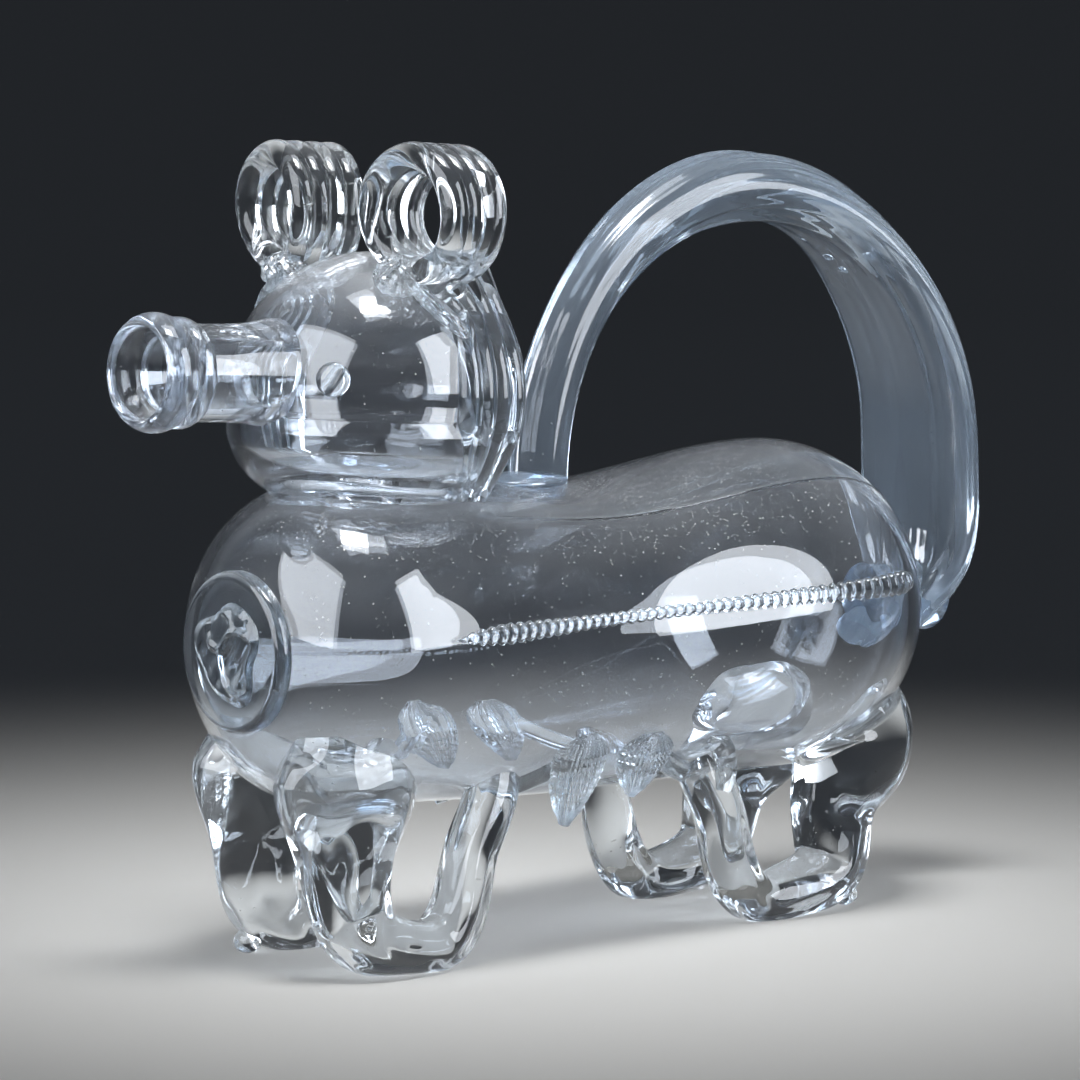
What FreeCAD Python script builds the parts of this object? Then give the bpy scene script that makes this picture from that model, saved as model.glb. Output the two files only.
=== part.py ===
import FreeCAD, Part
import math
import os

# Figural decanter of clear hot-worked glass: a hollow four-legged animal that pours through its snout.
# Every named piece is one gather of glass that was blown or trailed on, seated on its neighbour.
# Millimetres, +Z up. The snout points along -X, the animal's left side is at -Y, the feet stand on Z = 0.

Vector = FreeCAD.Vector

# Walls and the pouring bore
body_wall = 2.6
head_wall = 2.4
head_floor = 4.6
snout_bore_radius = 7.9
throat_bore_radius = 7.4

# Body: a barrel with a rounded chest, a drawn-in waist and a fuller round rump
chest_x = -95.7
chest_axis_z = 71.5
chest_flat_radius = 11.0
chest_round = 26.0
waist_x = -5.7
waist_axis_z = 68.5
waist_radius = 36.0
rump_x = 59.8
rump_axis_z = 71.5
rump_radius = 39.5

# Head: a blown bulb on a short throat, with two jaw creases round it
head_x = -59.1
head_tilt = 3.0
head_base_z = 103.0
head_base_radius = 20.0
head_dish = 6.5
head_dish_radius = 11.0
head_cheek_radius = 32.2
head_cheek_z = 127.0
head_crown_z = 158.3
jaw_upper_z = 121.8
jaw_lower_z = 114.4
jaw_crease_depth = 0.9
chin_bulge = 2.0
throat_radius = 13.0

# Snout: the neck of the bottle, with a lip bead and a second ring behind it
snout_radius = 10.7
snout_axis_z = 131.0
snout_pitch = 2.5
lip_front_x = -121.7
lip_radius = 13.1
lip_length = 8.0
mouth_radius = 10.0
collar_radius = 12.2
collar_length = 5.0
bead_crest_share = 0.55
bead_nose_share = 0.55
bead_shoulder_share = 0.22

# Eyes: pressed drops with a diagonal crease
eye_bearing = 36.0
eye_z = 130.3
eye_radius = 3.8
eye_height = 1.9
eye_crease_width = 0.9
eye_crease_depth = 0.25
eye_crease_slant = 42.0

# Ears: ribbed straps drawn up the cheek and rolled into a curl
ear_ridges = 4
ear_ridge_pitch = 4.4
ear_ridge_radius = 3.25
ear_curl_radius = 12.2
ear_centre_x = -3.6
ear_centre_y = 23.5
ear_centre_z = 167.0
ear_turn = 8.0
drape_top_x = 1.5
drape_x = 8.0
drape_lean = 1.5
drape_neck_drop = 8.0
drape_above_cheek = 9.0
drape_below_cheek = 5.0
drape_tip_z = 105.0
drape_neck_share = 0.8
drape_share = 0.9
drape_tip_share = 0.62
drape_back_share = 1.4
drape_proud = 2.3
right_drape_turn = 22.0

# Tail handle: round at the saddle, flattened to a wide strap behind, curled under to the rump
handle_centre_x = 52.8
handle_centre_z = 100.0
handle_half_span = 62.7
handle_rise = 71.0
handle_foot_width = 14.0
handle_top_width = 22.0
handle_top_thickness = 16.5
handle_strap_width = 38.0
handle_strap_thickness = 13.0
handle_hollow = 0.45
handle_angles = (188, 165, 140, 115, 90, 65, 40, 15, -6)
handle_round_angle = 140.0
handle_flat_angle = 30.0
curl_width = 22.0
curl_thickness = 11.0
curl_z = 62.0
curl_drop = 16.0
curl_lift = 4.0
curl_gap = 6.0
curl_bury = 13.0
curl_taper = 0.65
pad_half_length = 11.0
pad_half_width = 9.5
pad_forward = 5.0
pad_height = 2.6
root_radius = 9.0
root_z = 71.0

# Pontil disc on the chest, and the scar where the rod was cracked off
disc_radius = 18.0
disc_thickness = 2.5
disc_bury = 13.0
disc_rim = 2.2
scar_radius = 11.0
scar_height = 1.4
scar_corners = 9
scar_unevenness = 0.16
scar_profile = ((0.0, 1.0), (0.6, 0.85), (1.0, 0.45))

# Legs: each a loop with a stout outer limb, a flattened foot and a slim inner limb
leg_middle_x = -6.7
leg_y = 20.5
hip_y = 17.5
outer_limb_reach = 74.0
right_front_tuck = 5.0
front_inner_reach = 43.0
rear_inner_reach = 39.5
inner_top_reach = 31.0
hip_half_width = 18.0
hip_half_depth = 12.5
hip_drop = 25.0
hip_end_drop = 11.0
hip_end_half_width = 12.0
hip_end_half_depth = 12.0
hip_tuck = 9.5
hip_end_inset = 1.5
rear_hip_lean = 8.0
limb_half_width = 10.0
limb_half_length = 11.0
limb_z = 24.0
heel_inset = 3.0
heel_lift = 5.0
heel_swell = 2.2
foot_inset = 17.0
foot_half_height = 6.2
foot_half_depth = 9.0
foot_flat = 1.0
toe_reach = 7.0
toe_half_depth = 7.6
bend_lift = 8.0
bend_half_depth = 6.9
inner_half_width = 6.0
inner_lift = 20.0
inner_lean = 3.5
inner_top_drop = 28.0
inner_end_drop = 20.0
ground_reach = 200.0

# Belly trails, each drawn from the inner limb up the side of the belly and pincered into a hanging leaf
trail_y = 15.0
trail_radius = 3.4
trail_sink = 0.6
trail_taper = ((0.0, 1.0), (0.5, 0.85), (0.9, 0.9))
leaf_y = 27.5
leaf_lean = 6.0
leaf_half_width = 7.6
leaf_half_thickness = 2.4
leaf_profile = (
    (-0.3, 0.4, 0.8),
    (-0.15, 0.8, 1.1),
    (0.0, 1.0, 1.2),
    (0.45, 0.9, 1.0),
    (0.8, 0.5, 0.8),
    (1.0, 0.16, 0.5),
)
front_leaf_reach = 13.3
rear_leaf_reach = 6.7
front_leaf_tip_z = 28.5
rear_leaf_tip_z = 33.5

# Notched trail along the left flank
flank_rear_x = 76.3
flank_front_x = -63.7
flank_rear_z = 78.5
flank_front_z = 74.8
flank_half_height = 2.1
flank_proud = 1.6
flank_taper = ((0.0, 0.9), (0.03, 1.4), (0.25, 1.05), (0.5, 0.75), (0.7, 0.8), (0.9, 1.2), (1.0, 0.25))

# Outlines that the lofted glass is drawn through
section_points = 16
section_steps = 3
barrel_steps = 5
dome_steps = 6
chest_angles = (12, 35, 60, 90)
rump_angles = (90, 65, 40, 15)
forward = Vector(-1, 0, 0)
back = Vector(1, 0, 0)
across = Vector(0, 1, 0)
up = Vector(0, 0, 1)


def oval(centre, side, out, half_side, half_out, hollow=0.0):
    """Closed smooth outline; hollow draws in the face that looks against out."""
    points = []
    for step in range(section_points):
        turn = 2 * math.pi * step / section_points
        along = math.cos(turn)
        lift = math.sin(turn)
        if lift < 0:
            lift *= 1 - hollow * (1 - along * along)
        points.append(centre + side * (half_side * along) + out * (half_out * lift))
    curve = Part.BSplineCurve()
    curve.interpolate(points, PeriodicFlag=True)
    return Part.Wire(curve.toShape())


def eased(before, here, after, beyond, share):
    """Smooth value between here and after, with slopes taken from their neighbours."""
    slope_here = (after - before) / 2
    slope_after = (beyond - here) / 2
    square = share * share
    cube = square * share
    rise = (after - here) * (3 * square - 2 * cube)
    return here + rise + slope_here * (cube - 2 * square + share) + slope_after * (cube - square)


def section_at(spine, stations, number, share, side):
    """Outline between one station and the next, with sizes that ease from one to the other."""
    here = stations[number]
    after = stations[number + 1]
    start = spine.parameter(here[0])
    place = start + (spine.parameter(after[0]) - start) * share
    tangent = spine.tangent(place)[0]
    level = (side - tangent * side.dot(tangent)).normalize()
    sizes = []
    for column in range(1, len(here)):
        before_value = stations[max(0, number - 1)][column]
        beyond_value = stations[min(len(stations) - 1, number + 2)][column]
        sizes.append(eased(before_value, here[column], after[column], beyond_value, share))
    return oval(spine.value(place), level, tangent.cross(level), *sizes)


def gather(stations, side):
    """A solid drawn along its stations: point, half width along side, half thickness, hollow."""
    spine = Part.BSplineCurve()
    spine.interpolate([station[0] for station in stations])
    last = len(stations) - 1
    outlines = []
    for number in range(last):
        for step in range(section_steps):
            outlines.append(section_at(spine, stations, number, step / section_steps, side))
    outlines.append(section_at(spine, stations, last - 1, 1.0, side))
    return Part.makeLoft(outlines, True, False)


def turned(profile_edges, origin, axis):
    """Solid of revolution of a closed run of edges."""
    return Part.Face(Part.Wire(profile_edges)).revolve(origin, axis, 360)


def outline(points):
    return [Part.LineSegment(a, b).toShape() for a, b in zip(points, points[1:])]


def largest(shape):
    return max(shape.Solids, key=lambda solid: solid.Volume)


# Body


def barrel_at(x):
    """Axis height and radius of the barrel between chest and rump, drawn in at the waist."""
    chest_end_x = chest_x + chest_round
    if x < waist_x:
        share = min(1.0, (waist_x - x) / (waist_x - chest_end_x))
        end_z, end_radius = chest_axis_z, chest_flat_radius + chest_round
    else:
        share = min(1.0, (x - waist_x) / (rump_x - waist_x))
        end_z, end_radius = rump_axis_z, rump_radius
    ease = share * share * (3 - 2 * share)
    axis_z = waist_axis_z + (end_z - waist_axis_z) * ease
    return axis_z, waist_radius + (end_radius - waist_radius) * ease


def body_form(inset):
    """The barrel, or the hollow inside it, as circles lofted from chest to rump."""
    stations = []
    chest_end_x = chest_x + chest_round
    chest_r = chest_round - inset
    for angle in chest_angles:
        turn = math.radians(angle)
        x = chest_end_x - chest_r * math.cos(turn)
        stations.append((x, chest_axis_z, chest_flat_radius + chest_r * math.sin(turn)))
    for step in range(1, barrel_steps):
        x = chest_end_x + (rump_x - chest_end_x) * step / barrel_steps
        axis_z, radius = barrel_at(x)
        stations.append((x, axis_z, radius - inset))
    rump_r = rump_radius - inset
    for angle in rump_angles:
        turn = math.radians(angle)
        stations.append((rump_x + rump_r * math.cos(turn), rump_axis_z, rump_r * math.sin(turn)))
    rings = []
    for x, z, radius in stations:
        rings.append(Part.Wire(Part.Circle(Vector(x, 0, z), back, radius).toShape()))
    return Part.makeLoft(rings, True, False)


def belly_height(x, y):
    """How high the barrel's underside lies at a place along its length and width."""
    axis_z, radius = barrel_at(x)
    return axis_z - math.sqrt(radius ** 2 - y ** 2)


def flank_depth(x, z):
    """How far out the barrel's side lies at a place along its length and height."""
    axis_z, radius = barrel_at(x)
    if x > rump_x:
        radius = math.sqrt(radius ** 2 - (x - rump_x) ** 2)
    return math.sqrt(radius ** 2 - (z - axis_z) ** 2)


# Head, made upright on its own axis, then tilted and set on the body


def set_head(shape):
    moved = shape.copy()
    moved.rotate(up * head_base_z, across, head_tilt)
    moved.translate(back * head_x)
    return moved


def head_form(inset, floor):
    """The bulb, or the hollow inside it: dished base, two creased jaw rolls and a domed crown."""
    dish_z = head_base_z + head_dish + inset
    cheek = head_cheek_radius - inset
    foot = Vector(head_base_radius - inset, 0, head_base_z + floor)
    lower = Vector(cheek - jaw_crease_depth, 0, jaw_lower_z)
    upper = Vector(cheek - jaw_crease_depth, 0, jaw_upper_z)
    chin_chord = (lower - foot).normalize()
    chin_mid = (foot + lower) / 2 + Vector(chin_chord.z, 0, -chin_chord.x) * chin_bulge
    roll_mid = Vector(cheek, 0, (jaw_lower_z + jaw_upper_z) / 2)
    dome_points = []
    for step in range(dome_steps + 1):
        turn = math.pi / 2 * step / dome_steps
        rise = (head_crown_z - inset - head_cheek_z) * math.sin(turn)
        dome_points.append(Vector(cheek * math.cos(turn), 0, head_cheek_z + rise))
    dome = Part.BSplineCurve()
    dome.interpolate(dome_points, InitialTangent=up, FinalTangent=forward)
    edges = outline([up * dish_z, Vector(head_dish_radius - inset, 0, dish_z), foot])
    edges.append(Part.Arc(foot, chin_mid, lower).toShape())
    edges.append(Part.Arc(lower, roll_mid, upper).toShape())
    edges.append(Part.LineSegment(upper, dome_points[0]).toShape())
    edges.append(dome.toShape())
    edges.append(Part.LineSegment(dome_points[-1], up * dish_z).toShape())
    return turned(Part.__sortEdges__(edges), Vector(), up)


def cheek_depth(z):
    """Radius of the head's outer side at a height."""
    if z > head_cheek_z:
        share = (z - head_cheek_z) / (head_crown_z - head_cheek_z)
        return head_cheek_radius * math.sqrt(max(0.0, 1 - share ** 2))
    share = (head_cheek_z - z) / (head_cheek_z - head_base_z)
    return head_cheek_radius - (head_cheek_radius - head_base_radius - chin_bulge) * share ** 3


# Snout axis, through the head's axis and rising a little towards the mouth

pitch_turn = math.radians(snout_pitch)
snout_axis = Vector(-math.cos(pitch_turn), 0, math.sin(pitch_turn))
snout_start = Vector(head_x, 0, snout_axis_z)
snout_length = (head_x - lip_front_x) / math.cos(pitch_turn)
lip_start = snout_length - lip_length
collar_start = lip_start - collar_length


def along_snout(distance, radius):
    return snout_start + snout_axis * distance + across * radius


def rounded_ring(start, inner, outer, length, mouth):
    """A bead of glass round the bore: a half-round back, an easy front and a flared inside."""
    back_in = along_snout(start, inner)
    back_out = along_snout(start, outer - bead_shoulder_share * length)
    crest = along_snout(start + bead_crest_share * length, outer)
    front_out = along_snout(start + length, mouth + bead_nose_share * (outer - mouth))
    front_in = along_snout(start + length, mouth)
    edges = [
        Part.LineSegment(back_in, back_out).toShape(),
        Part.Arc(back_out, crest, front_out).toShape(),
        Part.LineSegment(front_out, front_in).toShape(),
        Part.LineSegment(front_in, back_in).toShape(),
    ]
    return turned(edges, snout_start, snout_axis)


# Ears and eyes


def ridge_outline(centre, side, out, scale, flat_back):
    """Scalloped section of a ribbed strap: ridges side by side, with a flat or a ridged back."""
    radius = ear_ridge_radius * scale
    pitch = ear_ridge_pitch * scale
    valley = math.sqrt(radius ** 2 - (pitch / 2) ** 2)
    last = ear_ridges - 1
    half_run = pitch * last / 2

    def place(along, lift):
        return centre + side * along + out * lift

    edges = []
    for face in ((1,) if flat_back else (1, -1)):
        for ridge in range(ear_ridges):
            middle = ridge * pitch - half_run
            start = place(middle - pitch / 2, face * valley)
            bend = place(middle, face * radius)
            end = place(middle + pitch / 2, face * valley)
            if ridge == 0:
                start = place(middle - radius, 0)
                bend = place(middle - radius / 2, face * radius * math.sin(math.pi / 3))
            if ridge == last:
                bend = place(middle + radius / 2, face * radius * math.sin(math.pi / 3))
                end = place(middle + radius, 0)
            edges.append(Part.Arc(start, bend, end).toShape())
    if flat_back:
        edge = half_run + radius
        depth = -drape_back_share * radius
        edges += outline([place(edge, 0), place(edge, depth), place(-edge, depth), place(-edge, 0)])
    return Part.Wire(Part.__sortEdges__(edges))


def ear_curl():
    """The rolled curl: the ribbed section turned right round."""
    turn = math.radians(ear_turn)
    axis = Vector(-math.cos(turn), math.sin(turn), 0)
    centre = Vector(ear_centre_x, ear_centre_y, ear_centre_z)
    section = ridge_outline(centre + up * ear_curl_radius, axis, up, 1.0, False)
    return Part.Face(section).revolve(centre, axis, 360)


def ear_drape(turn):
    """The strap below the curl, down the cheek to a pincered tip, turned forward round the head."""
    top_z = ear_centre_z - ear_curl_radius
    runs = (
        (top_z - drape_neck_drop, drape_neck_share),
        (head_cheek_z + drape_above_cheek, drape_share),
        (head_cheek_z - drape_below_cheek, drape_share),
        (drape_tip_z, drape_tip_share),
    )
    points = [Vector(drape_top_x, ear_centre_y + drape_lean, top_z)]
    shares = [drape_neck_share]
    for z, share in runs:
        points.append(Vector(drape_x, cheek_depth(z) + drape_proud - ear_ridge_radius * drape_share, z))
        shares.append(share)
    spine = Part.BSplineCurve()
    spine.interpolate(points)
    sections = []
    for point, share in zip(points, shares):
        tangent = spine.tangent(spine.parameter(point))[0]
        out = (across - tangent * across.dot(tangent)).normalize()
        sections.append(ridge_outline(point, back, out, share, True))
    drape = Part.makeLoft(sections, True, False)
    drape.rotate(Vector(), up, turn)
    return drape


def eye():
    """A drop pressed on beside the snout, creased on the slant."""
    bearing = math.radians(eye_bearing)
    facing = Vector(-math.cos(bearing), math.sin(bearing), 0)
    level = Vector(-facing.y, facing.x, 0)
    seat = facing * cheek_depth(eye_z) + up * eye_z
    foot = seat - facing * eye_height
    top = seat + facing * eye_height
    cap_radius = (eye_height ** 2 + eye_radius ** 2) / (2 * eye_height)
    half_turn = math.asin(eye_radius / cap_radius) / 2
    sink = cap_radius * (1 - math.cos(half_turn))
    shoulder = top - facing * sink + level * cap_radius * math.sin(half_turn)
    edges = outline([top, foot, foot + level * eye_radius, seat + level * eye_radius])
    edges.append(Part.Arc(seat + level * eye_radius, shoulder, top).toShape())
    slant_turn = math.radians(eye_crease_slant)
    slant = up * math.cos(slant_turn) + level * math.sin(slant_turn)
    crease_run = 2 * eye_radius
    crease_middle = top + facing * (eye_crease_width / 2 - eye_crease_depth)
    crease_start = crease_middle - slant * crease_run
    crease = Part.makeCylinder(eye_crease_width / 2, 2 * crease_run, crease_start, slant)
    return turned(edges, foot, facing).cut(crease)


# Tail handle


def handle_station(angle):
    """Place on the arch, with half width, half thickness and hollow there."""
    turn = math.radians(angle)
    x = handle_centre_x + handle_half_span * math.cos(turn)
    z = handle_centre_z + handle_rise * math.sin(turn)
    if angle > 90:
        share = min(1.0, (angle - 90) / (handle_round_angle - 90))
        end_width, end_thickness, end_hollow = handle_foot_width, handle_foot_width, 0.0
    else:
        share = min(1.0, (90 - angle) / (90 - handle_flat_angle))
        end_width, end_thickness, end_hollow = handle_strap_width, handle_strap_thickness, handle_hollow
    width = handle_top_width + (end_width - handle_top_width) * share
    thickness = handle_top_thickness + (end_thickness - handle_top_thickness) * share
    return Vector(x, 0, z), width / 2, thickness / 2, end_hollow * share


def handle_form():
    stations = [handle_station(angle) for angle in handle_angles]
    last_point, strap, thick, hollow = stations[-1]
    rump_end = rump_x + rump_radius
    curl = curl_width / 2
    curl_thick = curl_thickness / 2
    half_taper = (1 + curl_taper) / 2
    turn_in = Vector(handle_centre_x + handle_half_span, 0, curl_z + curl_drop)
    stations += [
        (turn_in, (strap + curl) / 2, thick, hollow / 2),
        (Vector(rump_end + curl_gap, 0, curl_z + curl_lift), curl, curl_thick, 0.0),
        (Vector(rump_end - curl_gap / 2, 0, curl_z), curl * half_taper, curl_thick * half_taper, 0.0),
        (Vector(rump_end - curl_bury, 0, curl_z), curl * curl_taper, curl_thick * curl_taper, 0.0),
    ]
    return gather(stations, across)


def saddle_pad():
    """The low cushion of glass under the handle's front end."""
    pad = Part.makeSphere(1.0)
    stretch = FreeCAD.Matrix()
    stretch.scale(Vector(pad_half_length, pad_half_width, pad_height))
    pad = pad.transformGeometry(stretch)
    pad.translate(Vector(handle_centre_x - handle_half_span - pad_forward, 0, waist_axis_z + waist_radius))
    return pad


# Legs and belly


def leg_form(end, outer_reach):
    """One loop leg; end is -1 at the chest and 1 at the rump."""
    lean = rear_hip_lean if end > 0 else 0.0
    inner_reach = rear_inner_reach if end > 0 else front_inner_reach
    foot_z = foot_half_height - foot_flat
    heel_half_height = foot_half_height + heel_swell
    knee_y = (leg_y + hip_y) / 2
    hip_end_y = hip_y - hip_end_inset
    hip_end_z = waist_axis_z - hip_end_drop
    trail_top_y = (trail_y + leg_y) / 2
    rows = (
        (outer_reach - hip_tuck, hip_end_y, hip_end_z, hip_end_half_depth, hip_end_half_width),
        (outer_reach + lean, hip_y, waist_axis_z - hip_drop, hip_half_depth, hip_half_width),
        (outer_reach, knee_y, limb_z, limb_half_width, limb_half_length),
        (outer_reach - heel_inset, leg_y, foot_z + heel_lift, foot_half_depth, heel_half_height),
        (outer_reach - foot_inset, leg_y, foot_z, foot_half_depth, foot_half_height),
        (inner_reach + toe_reach, leg_y, foot_z, toe_half_depth, foot_half_height),
        (inner_reach, leg_y, foot_z + bend_lift, bend_half_depth, inner_half_width),
        (inner_reach - inner_lean, leg_y, foot_z + inner_lift, inner_half_width, inner_half_width),
        (inner_top_reach, trail_top_y, waist_axis_z - inner_top_drop, inner_half_width, inner_half_width),
        (inner_top_reach, trail_y, waist_axis_z - inner_end_drop, inner_half_width, inner_half_width),
    )
    stations = []
    for reach, y, z, half_depth, half_width in rows:
        stations.append((Vector(leg_middle_x + end * reach, y, z), half_depth, half_width, 0.0))
    corner = Vector(-ground_reach, -ground_reach, -ground_reach)
    ground = Part.makeBox(2 * ground_reach, 2 * ground_reach, ground_reach, corner)
    return gather(stations, across).cut(ground)


def belly_tab(end):
    """The inner limb's trail up the side of the belly, pincered into a hanging leaf."""
    reach = front_leaf_reach if end < 0 else rear_leaf_reach
    tip_z = front_leaf_tip_z if end < 0 else rear_leaf_tip_z
    leaf_x = leg_middle_x + end * reach
    limb_x = leg_middle_x + end * inner_top_reach
    trail = []
    for share, size in trail_taper:
        x = limb_x + (leaf_x - limb_x) * share
        y = trail_y + (leaf_y - trail_y) * share
        place = Vector(x, y, belly_height(x, y) + trail_sink)
        trail.append((place, trail_radius * size, trail_radius * size, 0.0))
    leaf_top_z = belly_height(leaf_x, leaf_y)
    leaf = []
    for share, width, depth in leaf_profile:
        z = leaf_top_z - (leaf_top_z - tip_z) * share
        centre = Vector(leaf_x, leaf_y - leaf_lean * share, z)
        leaf.append(oval(centre, back, across, leaf_half_width * width, leaf_half_thickness * depth))
    return gather(trail, across).fuse(Part.makeLoft(leaf, True, False))


def flank_trail():
    """The notched trail laid along the flank, thick at the rump and pointed at the shoulder."""
    stations = []
    for share, size in flank_taper:
        x = flank_rear_x + (flank_front_x - flank_rear_x) * share
        z = flank_rear_z + (flank_front_z - flank_rear_z) * share
        place = Vector(x, flank_depth(x, z), z)
        stations.append((place, flank_proud * size, flank_half_height * size, 0.0))
    return gather(stations, across)


# Chest


def chest_disc():
    front = chest_x - disc_thickness
    axis_start = Vector(chest_x + disc_bury, 0, chest_axis_z)
    disc = Part.makeCylinder(disc_radius, disc_bury + disc_thickness, axis_start, forward)
    front_rims = [edge for edge in disc.Edges if abs(edge.BoundBox.XMax - front) < disc_thickness / 2]
    return disc.makeFillet(disc_rim, front_rims)


def chest_scar():
    """The rough island of glass left by the rod: a low lump with an uneven outline."""
    rings = []
    for height, share in scar_profile:
        x = chest_x - disc_thickness - scar_height * height
        points = []
        for corner in range(scar_corners):
            turn = 2 * math.pi * corner / scar_corners
            swell = scar_unevenness * (math.sin(3 * turn + 1) + math.sin(5 * turn) / 2)
            radius = scar_radius * share * (1 + swell)
            points.append(Vector(x, radius * math.cos(turn), chest_axis_z + radius * math.sin(turn)))
        rings.append(Part.makePolygon(points + points[:1]))
    return Part.makeLoft(rings, True, True)


# Assembly: the larger gather keeps its form, and what is laid on it is cut to its surface

body_outer = body_form(0.0)
head_outer = set_head(head_form(0.0, 0.0))
head_hollow = set_head(head_form(head_wall, head_floor))
throat_start = Vector(head_x, 0, waist_axis_z)
throat_length = head_cheek_z - waist_axis_z
throat_bore = Part.makeCylinder(throat_bore_radius, throat_length, throat_start, up)
throat = Part.makeCylinder(throat_radius, throat_length, throat_start, up).cut(throat_bore)
snout_bore = Part.makeCylinder(snout_bore_radius, snout_length, snout_start, snout_axis)
snout = Part.makeCylinder(snout_radius, lip_start, snout_start, snout_axis).cut(snout_bore)
head_shell = head_outer.cut(head_hollow).cut(throat_bore).cut(snout_bore)

pieces = {}
pieces["body_barrel"] = body_outer.cut(body_form(body_wall)).cut(throat_bore)
pieces["head_bulb"] = largest(head_shell.cut(body_outer))
pieces["throat"] = largest(throat.cut(body_outer).cut(head_outer))
pieces["snout_neck"] = largest(snout.cut(head_outer))
pieces["lip_bead"] = rounded_ring(lip_start, snout_bore_radius, lip_radius, lip_length, mouth_radius)
pieces["lip_collar"] = rounded_ring(collar_start, snout_radius, collar_radius, collar_length, snout_radius)

pad = saddle_pad().cut(head_outer)
handle = largest(handle_form().cut(body_outer).cut(head_outer).cut(pad))
root_length = handle_centre_x + handle_half_span - rump_x
root = Part.makeCylinder(root_radius, root_length, Vector(rump_x, 0, root_z), back)
pieces["handle_pad"] = largest(pad.cut(body_outer))
pieces["tail_handle"] = handle
pieces["tail_root"] = largest(root.cut(body_outer).cut(handle))

disc = chest_disc().cut(body_outer)
pieces["pontil_disc"] = largest(disc)
pieces["pontil_scar"] = chest_scar()

# What stands on both sides is made on the right and mirrored to the left

curl = set_head(ear_curl()).cut(head_outer)
paired = {}
paired["ear"] = largest(curl)
paired["eye"] = largest(set_head(eye()).cut(head_outer))
for name, shape in paired.items():
    pieces[name + "_right"] = shape
    pieces[name + "_left"] = shape.mirror(Vector(), across)
pieces["flank_trail"] = largest(flank_trail().cut(body_outer)).mirror(Vector(), across)

# The right ear's strap was laid further forward on the cheek than the left one

right_drape = largest(set_head(ear_drape(right_drape_turn)).cut(head_outer).cut(curl))
left_drape = largest(set_head(ear_drape(0.0)).cut(head_outer).cut(curl))
pieces["ear_drape_right"] = right_drape
pieces["ear_drape_left"] = left_drape.mirror(Vector(), across)

# The legs were bent one by one, and the right front one stands a little further back

for end_name, end in (("front", -1), ("rear", 1)):
    for side_name in ("right", "left"):
        tucked = end_name == "front" and side_name == "right"
        outer_reach = outer_limb_reach - right_front_tuck if tucked else outer_limb_reach
        leg = largest(leg_form(end, outer_reach).cut(body_outer).cut(disc))
        tab = largest(belly_tab(end).cut(body_outer).cut(leg))
        if side_name == "left":
            leg = leg.mirror(Vector(), across)
            tab = tab.mirror(Vector(), across)
        pieces["leg_" + end_name + "_" + side_name] = leg
        pieces["belly_tab_" + end_name + "_" + side_name] = tab

os.makedirs("parts", exist_ok=True)
whole = FreeCAD.BoundBox()
for name, shape in pieces.items():
    shape.exportStep("parts/" + name + ".step")
    whole.add(shape.BoundBox)
    print(name, "solids", len(shape.Solids), "valid", shape.isValid(), "volume", round(shape.Volume))
print("box", [round(v, 2) for v in (whole.XMin, whole.XMax, whole.YMin, whole.YMax, whole.ZMin, whole.ZMax)])
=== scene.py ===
# %% [markdown]
# # A clear glass decanter in the shape of a standing animal
# The CAD frame is loaded first, because every piece of glass below takes the place of one of its nodes.

# %% Load the frame
import math
import bmesh
import bpy
import numpy as np
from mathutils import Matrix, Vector


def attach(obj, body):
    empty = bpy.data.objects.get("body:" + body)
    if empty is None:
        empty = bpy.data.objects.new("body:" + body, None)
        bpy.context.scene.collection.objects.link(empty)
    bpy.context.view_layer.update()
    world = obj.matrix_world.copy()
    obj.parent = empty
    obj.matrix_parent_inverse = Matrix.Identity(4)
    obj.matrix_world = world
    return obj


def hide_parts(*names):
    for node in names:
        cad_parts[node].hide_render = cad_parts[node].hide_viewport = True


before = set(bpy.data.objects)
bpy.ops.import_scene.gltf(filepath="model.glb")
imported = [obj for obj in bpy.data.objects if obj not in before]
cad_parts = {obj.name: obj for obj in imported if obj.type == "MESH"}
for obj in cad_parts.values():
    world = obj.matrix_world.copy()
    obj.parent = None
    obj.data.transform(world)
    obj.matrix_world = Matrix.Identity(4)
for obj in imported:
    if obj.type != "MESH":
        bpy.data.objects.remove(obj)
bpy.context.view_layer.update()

MM = 0.001

# %% [markdown]
# ## The camera
# The view comes from fitting the photograph: a long lens about 1.1 m away, turned 40.7 degrees round the
# animal's left shoulder and looking down by a little over 5 degrees. A long lens keeps the legs from
# splaying. The focal length is worked out from the photograph's 1080 pixels and Blender's sensor width.

# %% Camera
PHOTO_PIXELS = 1080
FOCAL_PIXELS = 4930
SENSOR_WIDTH = 36.0
CAMERA_PLACE = Vector((-744.0, -855.5, 197.8)) * MM
CAMERA_TURN = math.radians(40.69)
CAMERA_PITCH = math.radians(5.42)

camera_data = bpy.data.cameras.new("camera")
camera_data.sensor_width = SENSOR_WIDTH
camera_data.lens = FOCAL_PIXELS / PHOTO_PIXELS * SENSOR_WIDTH
camera = bpy.data.objects.new("camera", camera_data)
level_ahead = Vector((math.sin(CAMERA_TURN), math.cos(CAMERA_TURN), 0))
level_right = Vector((math.cos(CAMERA_TURN), -math.sin(CAMERA_TURN), 0))
ahead = level_ahead * math.cos(CAMERA_PITCH) - Vector((0, 0, math.sin(CAMERA_PITCH)))
camera.location = CAMERA_PLACE
camera.rotation_mode = "QUATERNION"
camera.rotation_quaternion = ahead.to_track_quat("-Z", "Y")
bpy.context.scene.collection.objects.link(camera)
bpy.context.scene.camera = camera
print("lens", round(camera_data.lens, 1), "mm")

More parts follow.
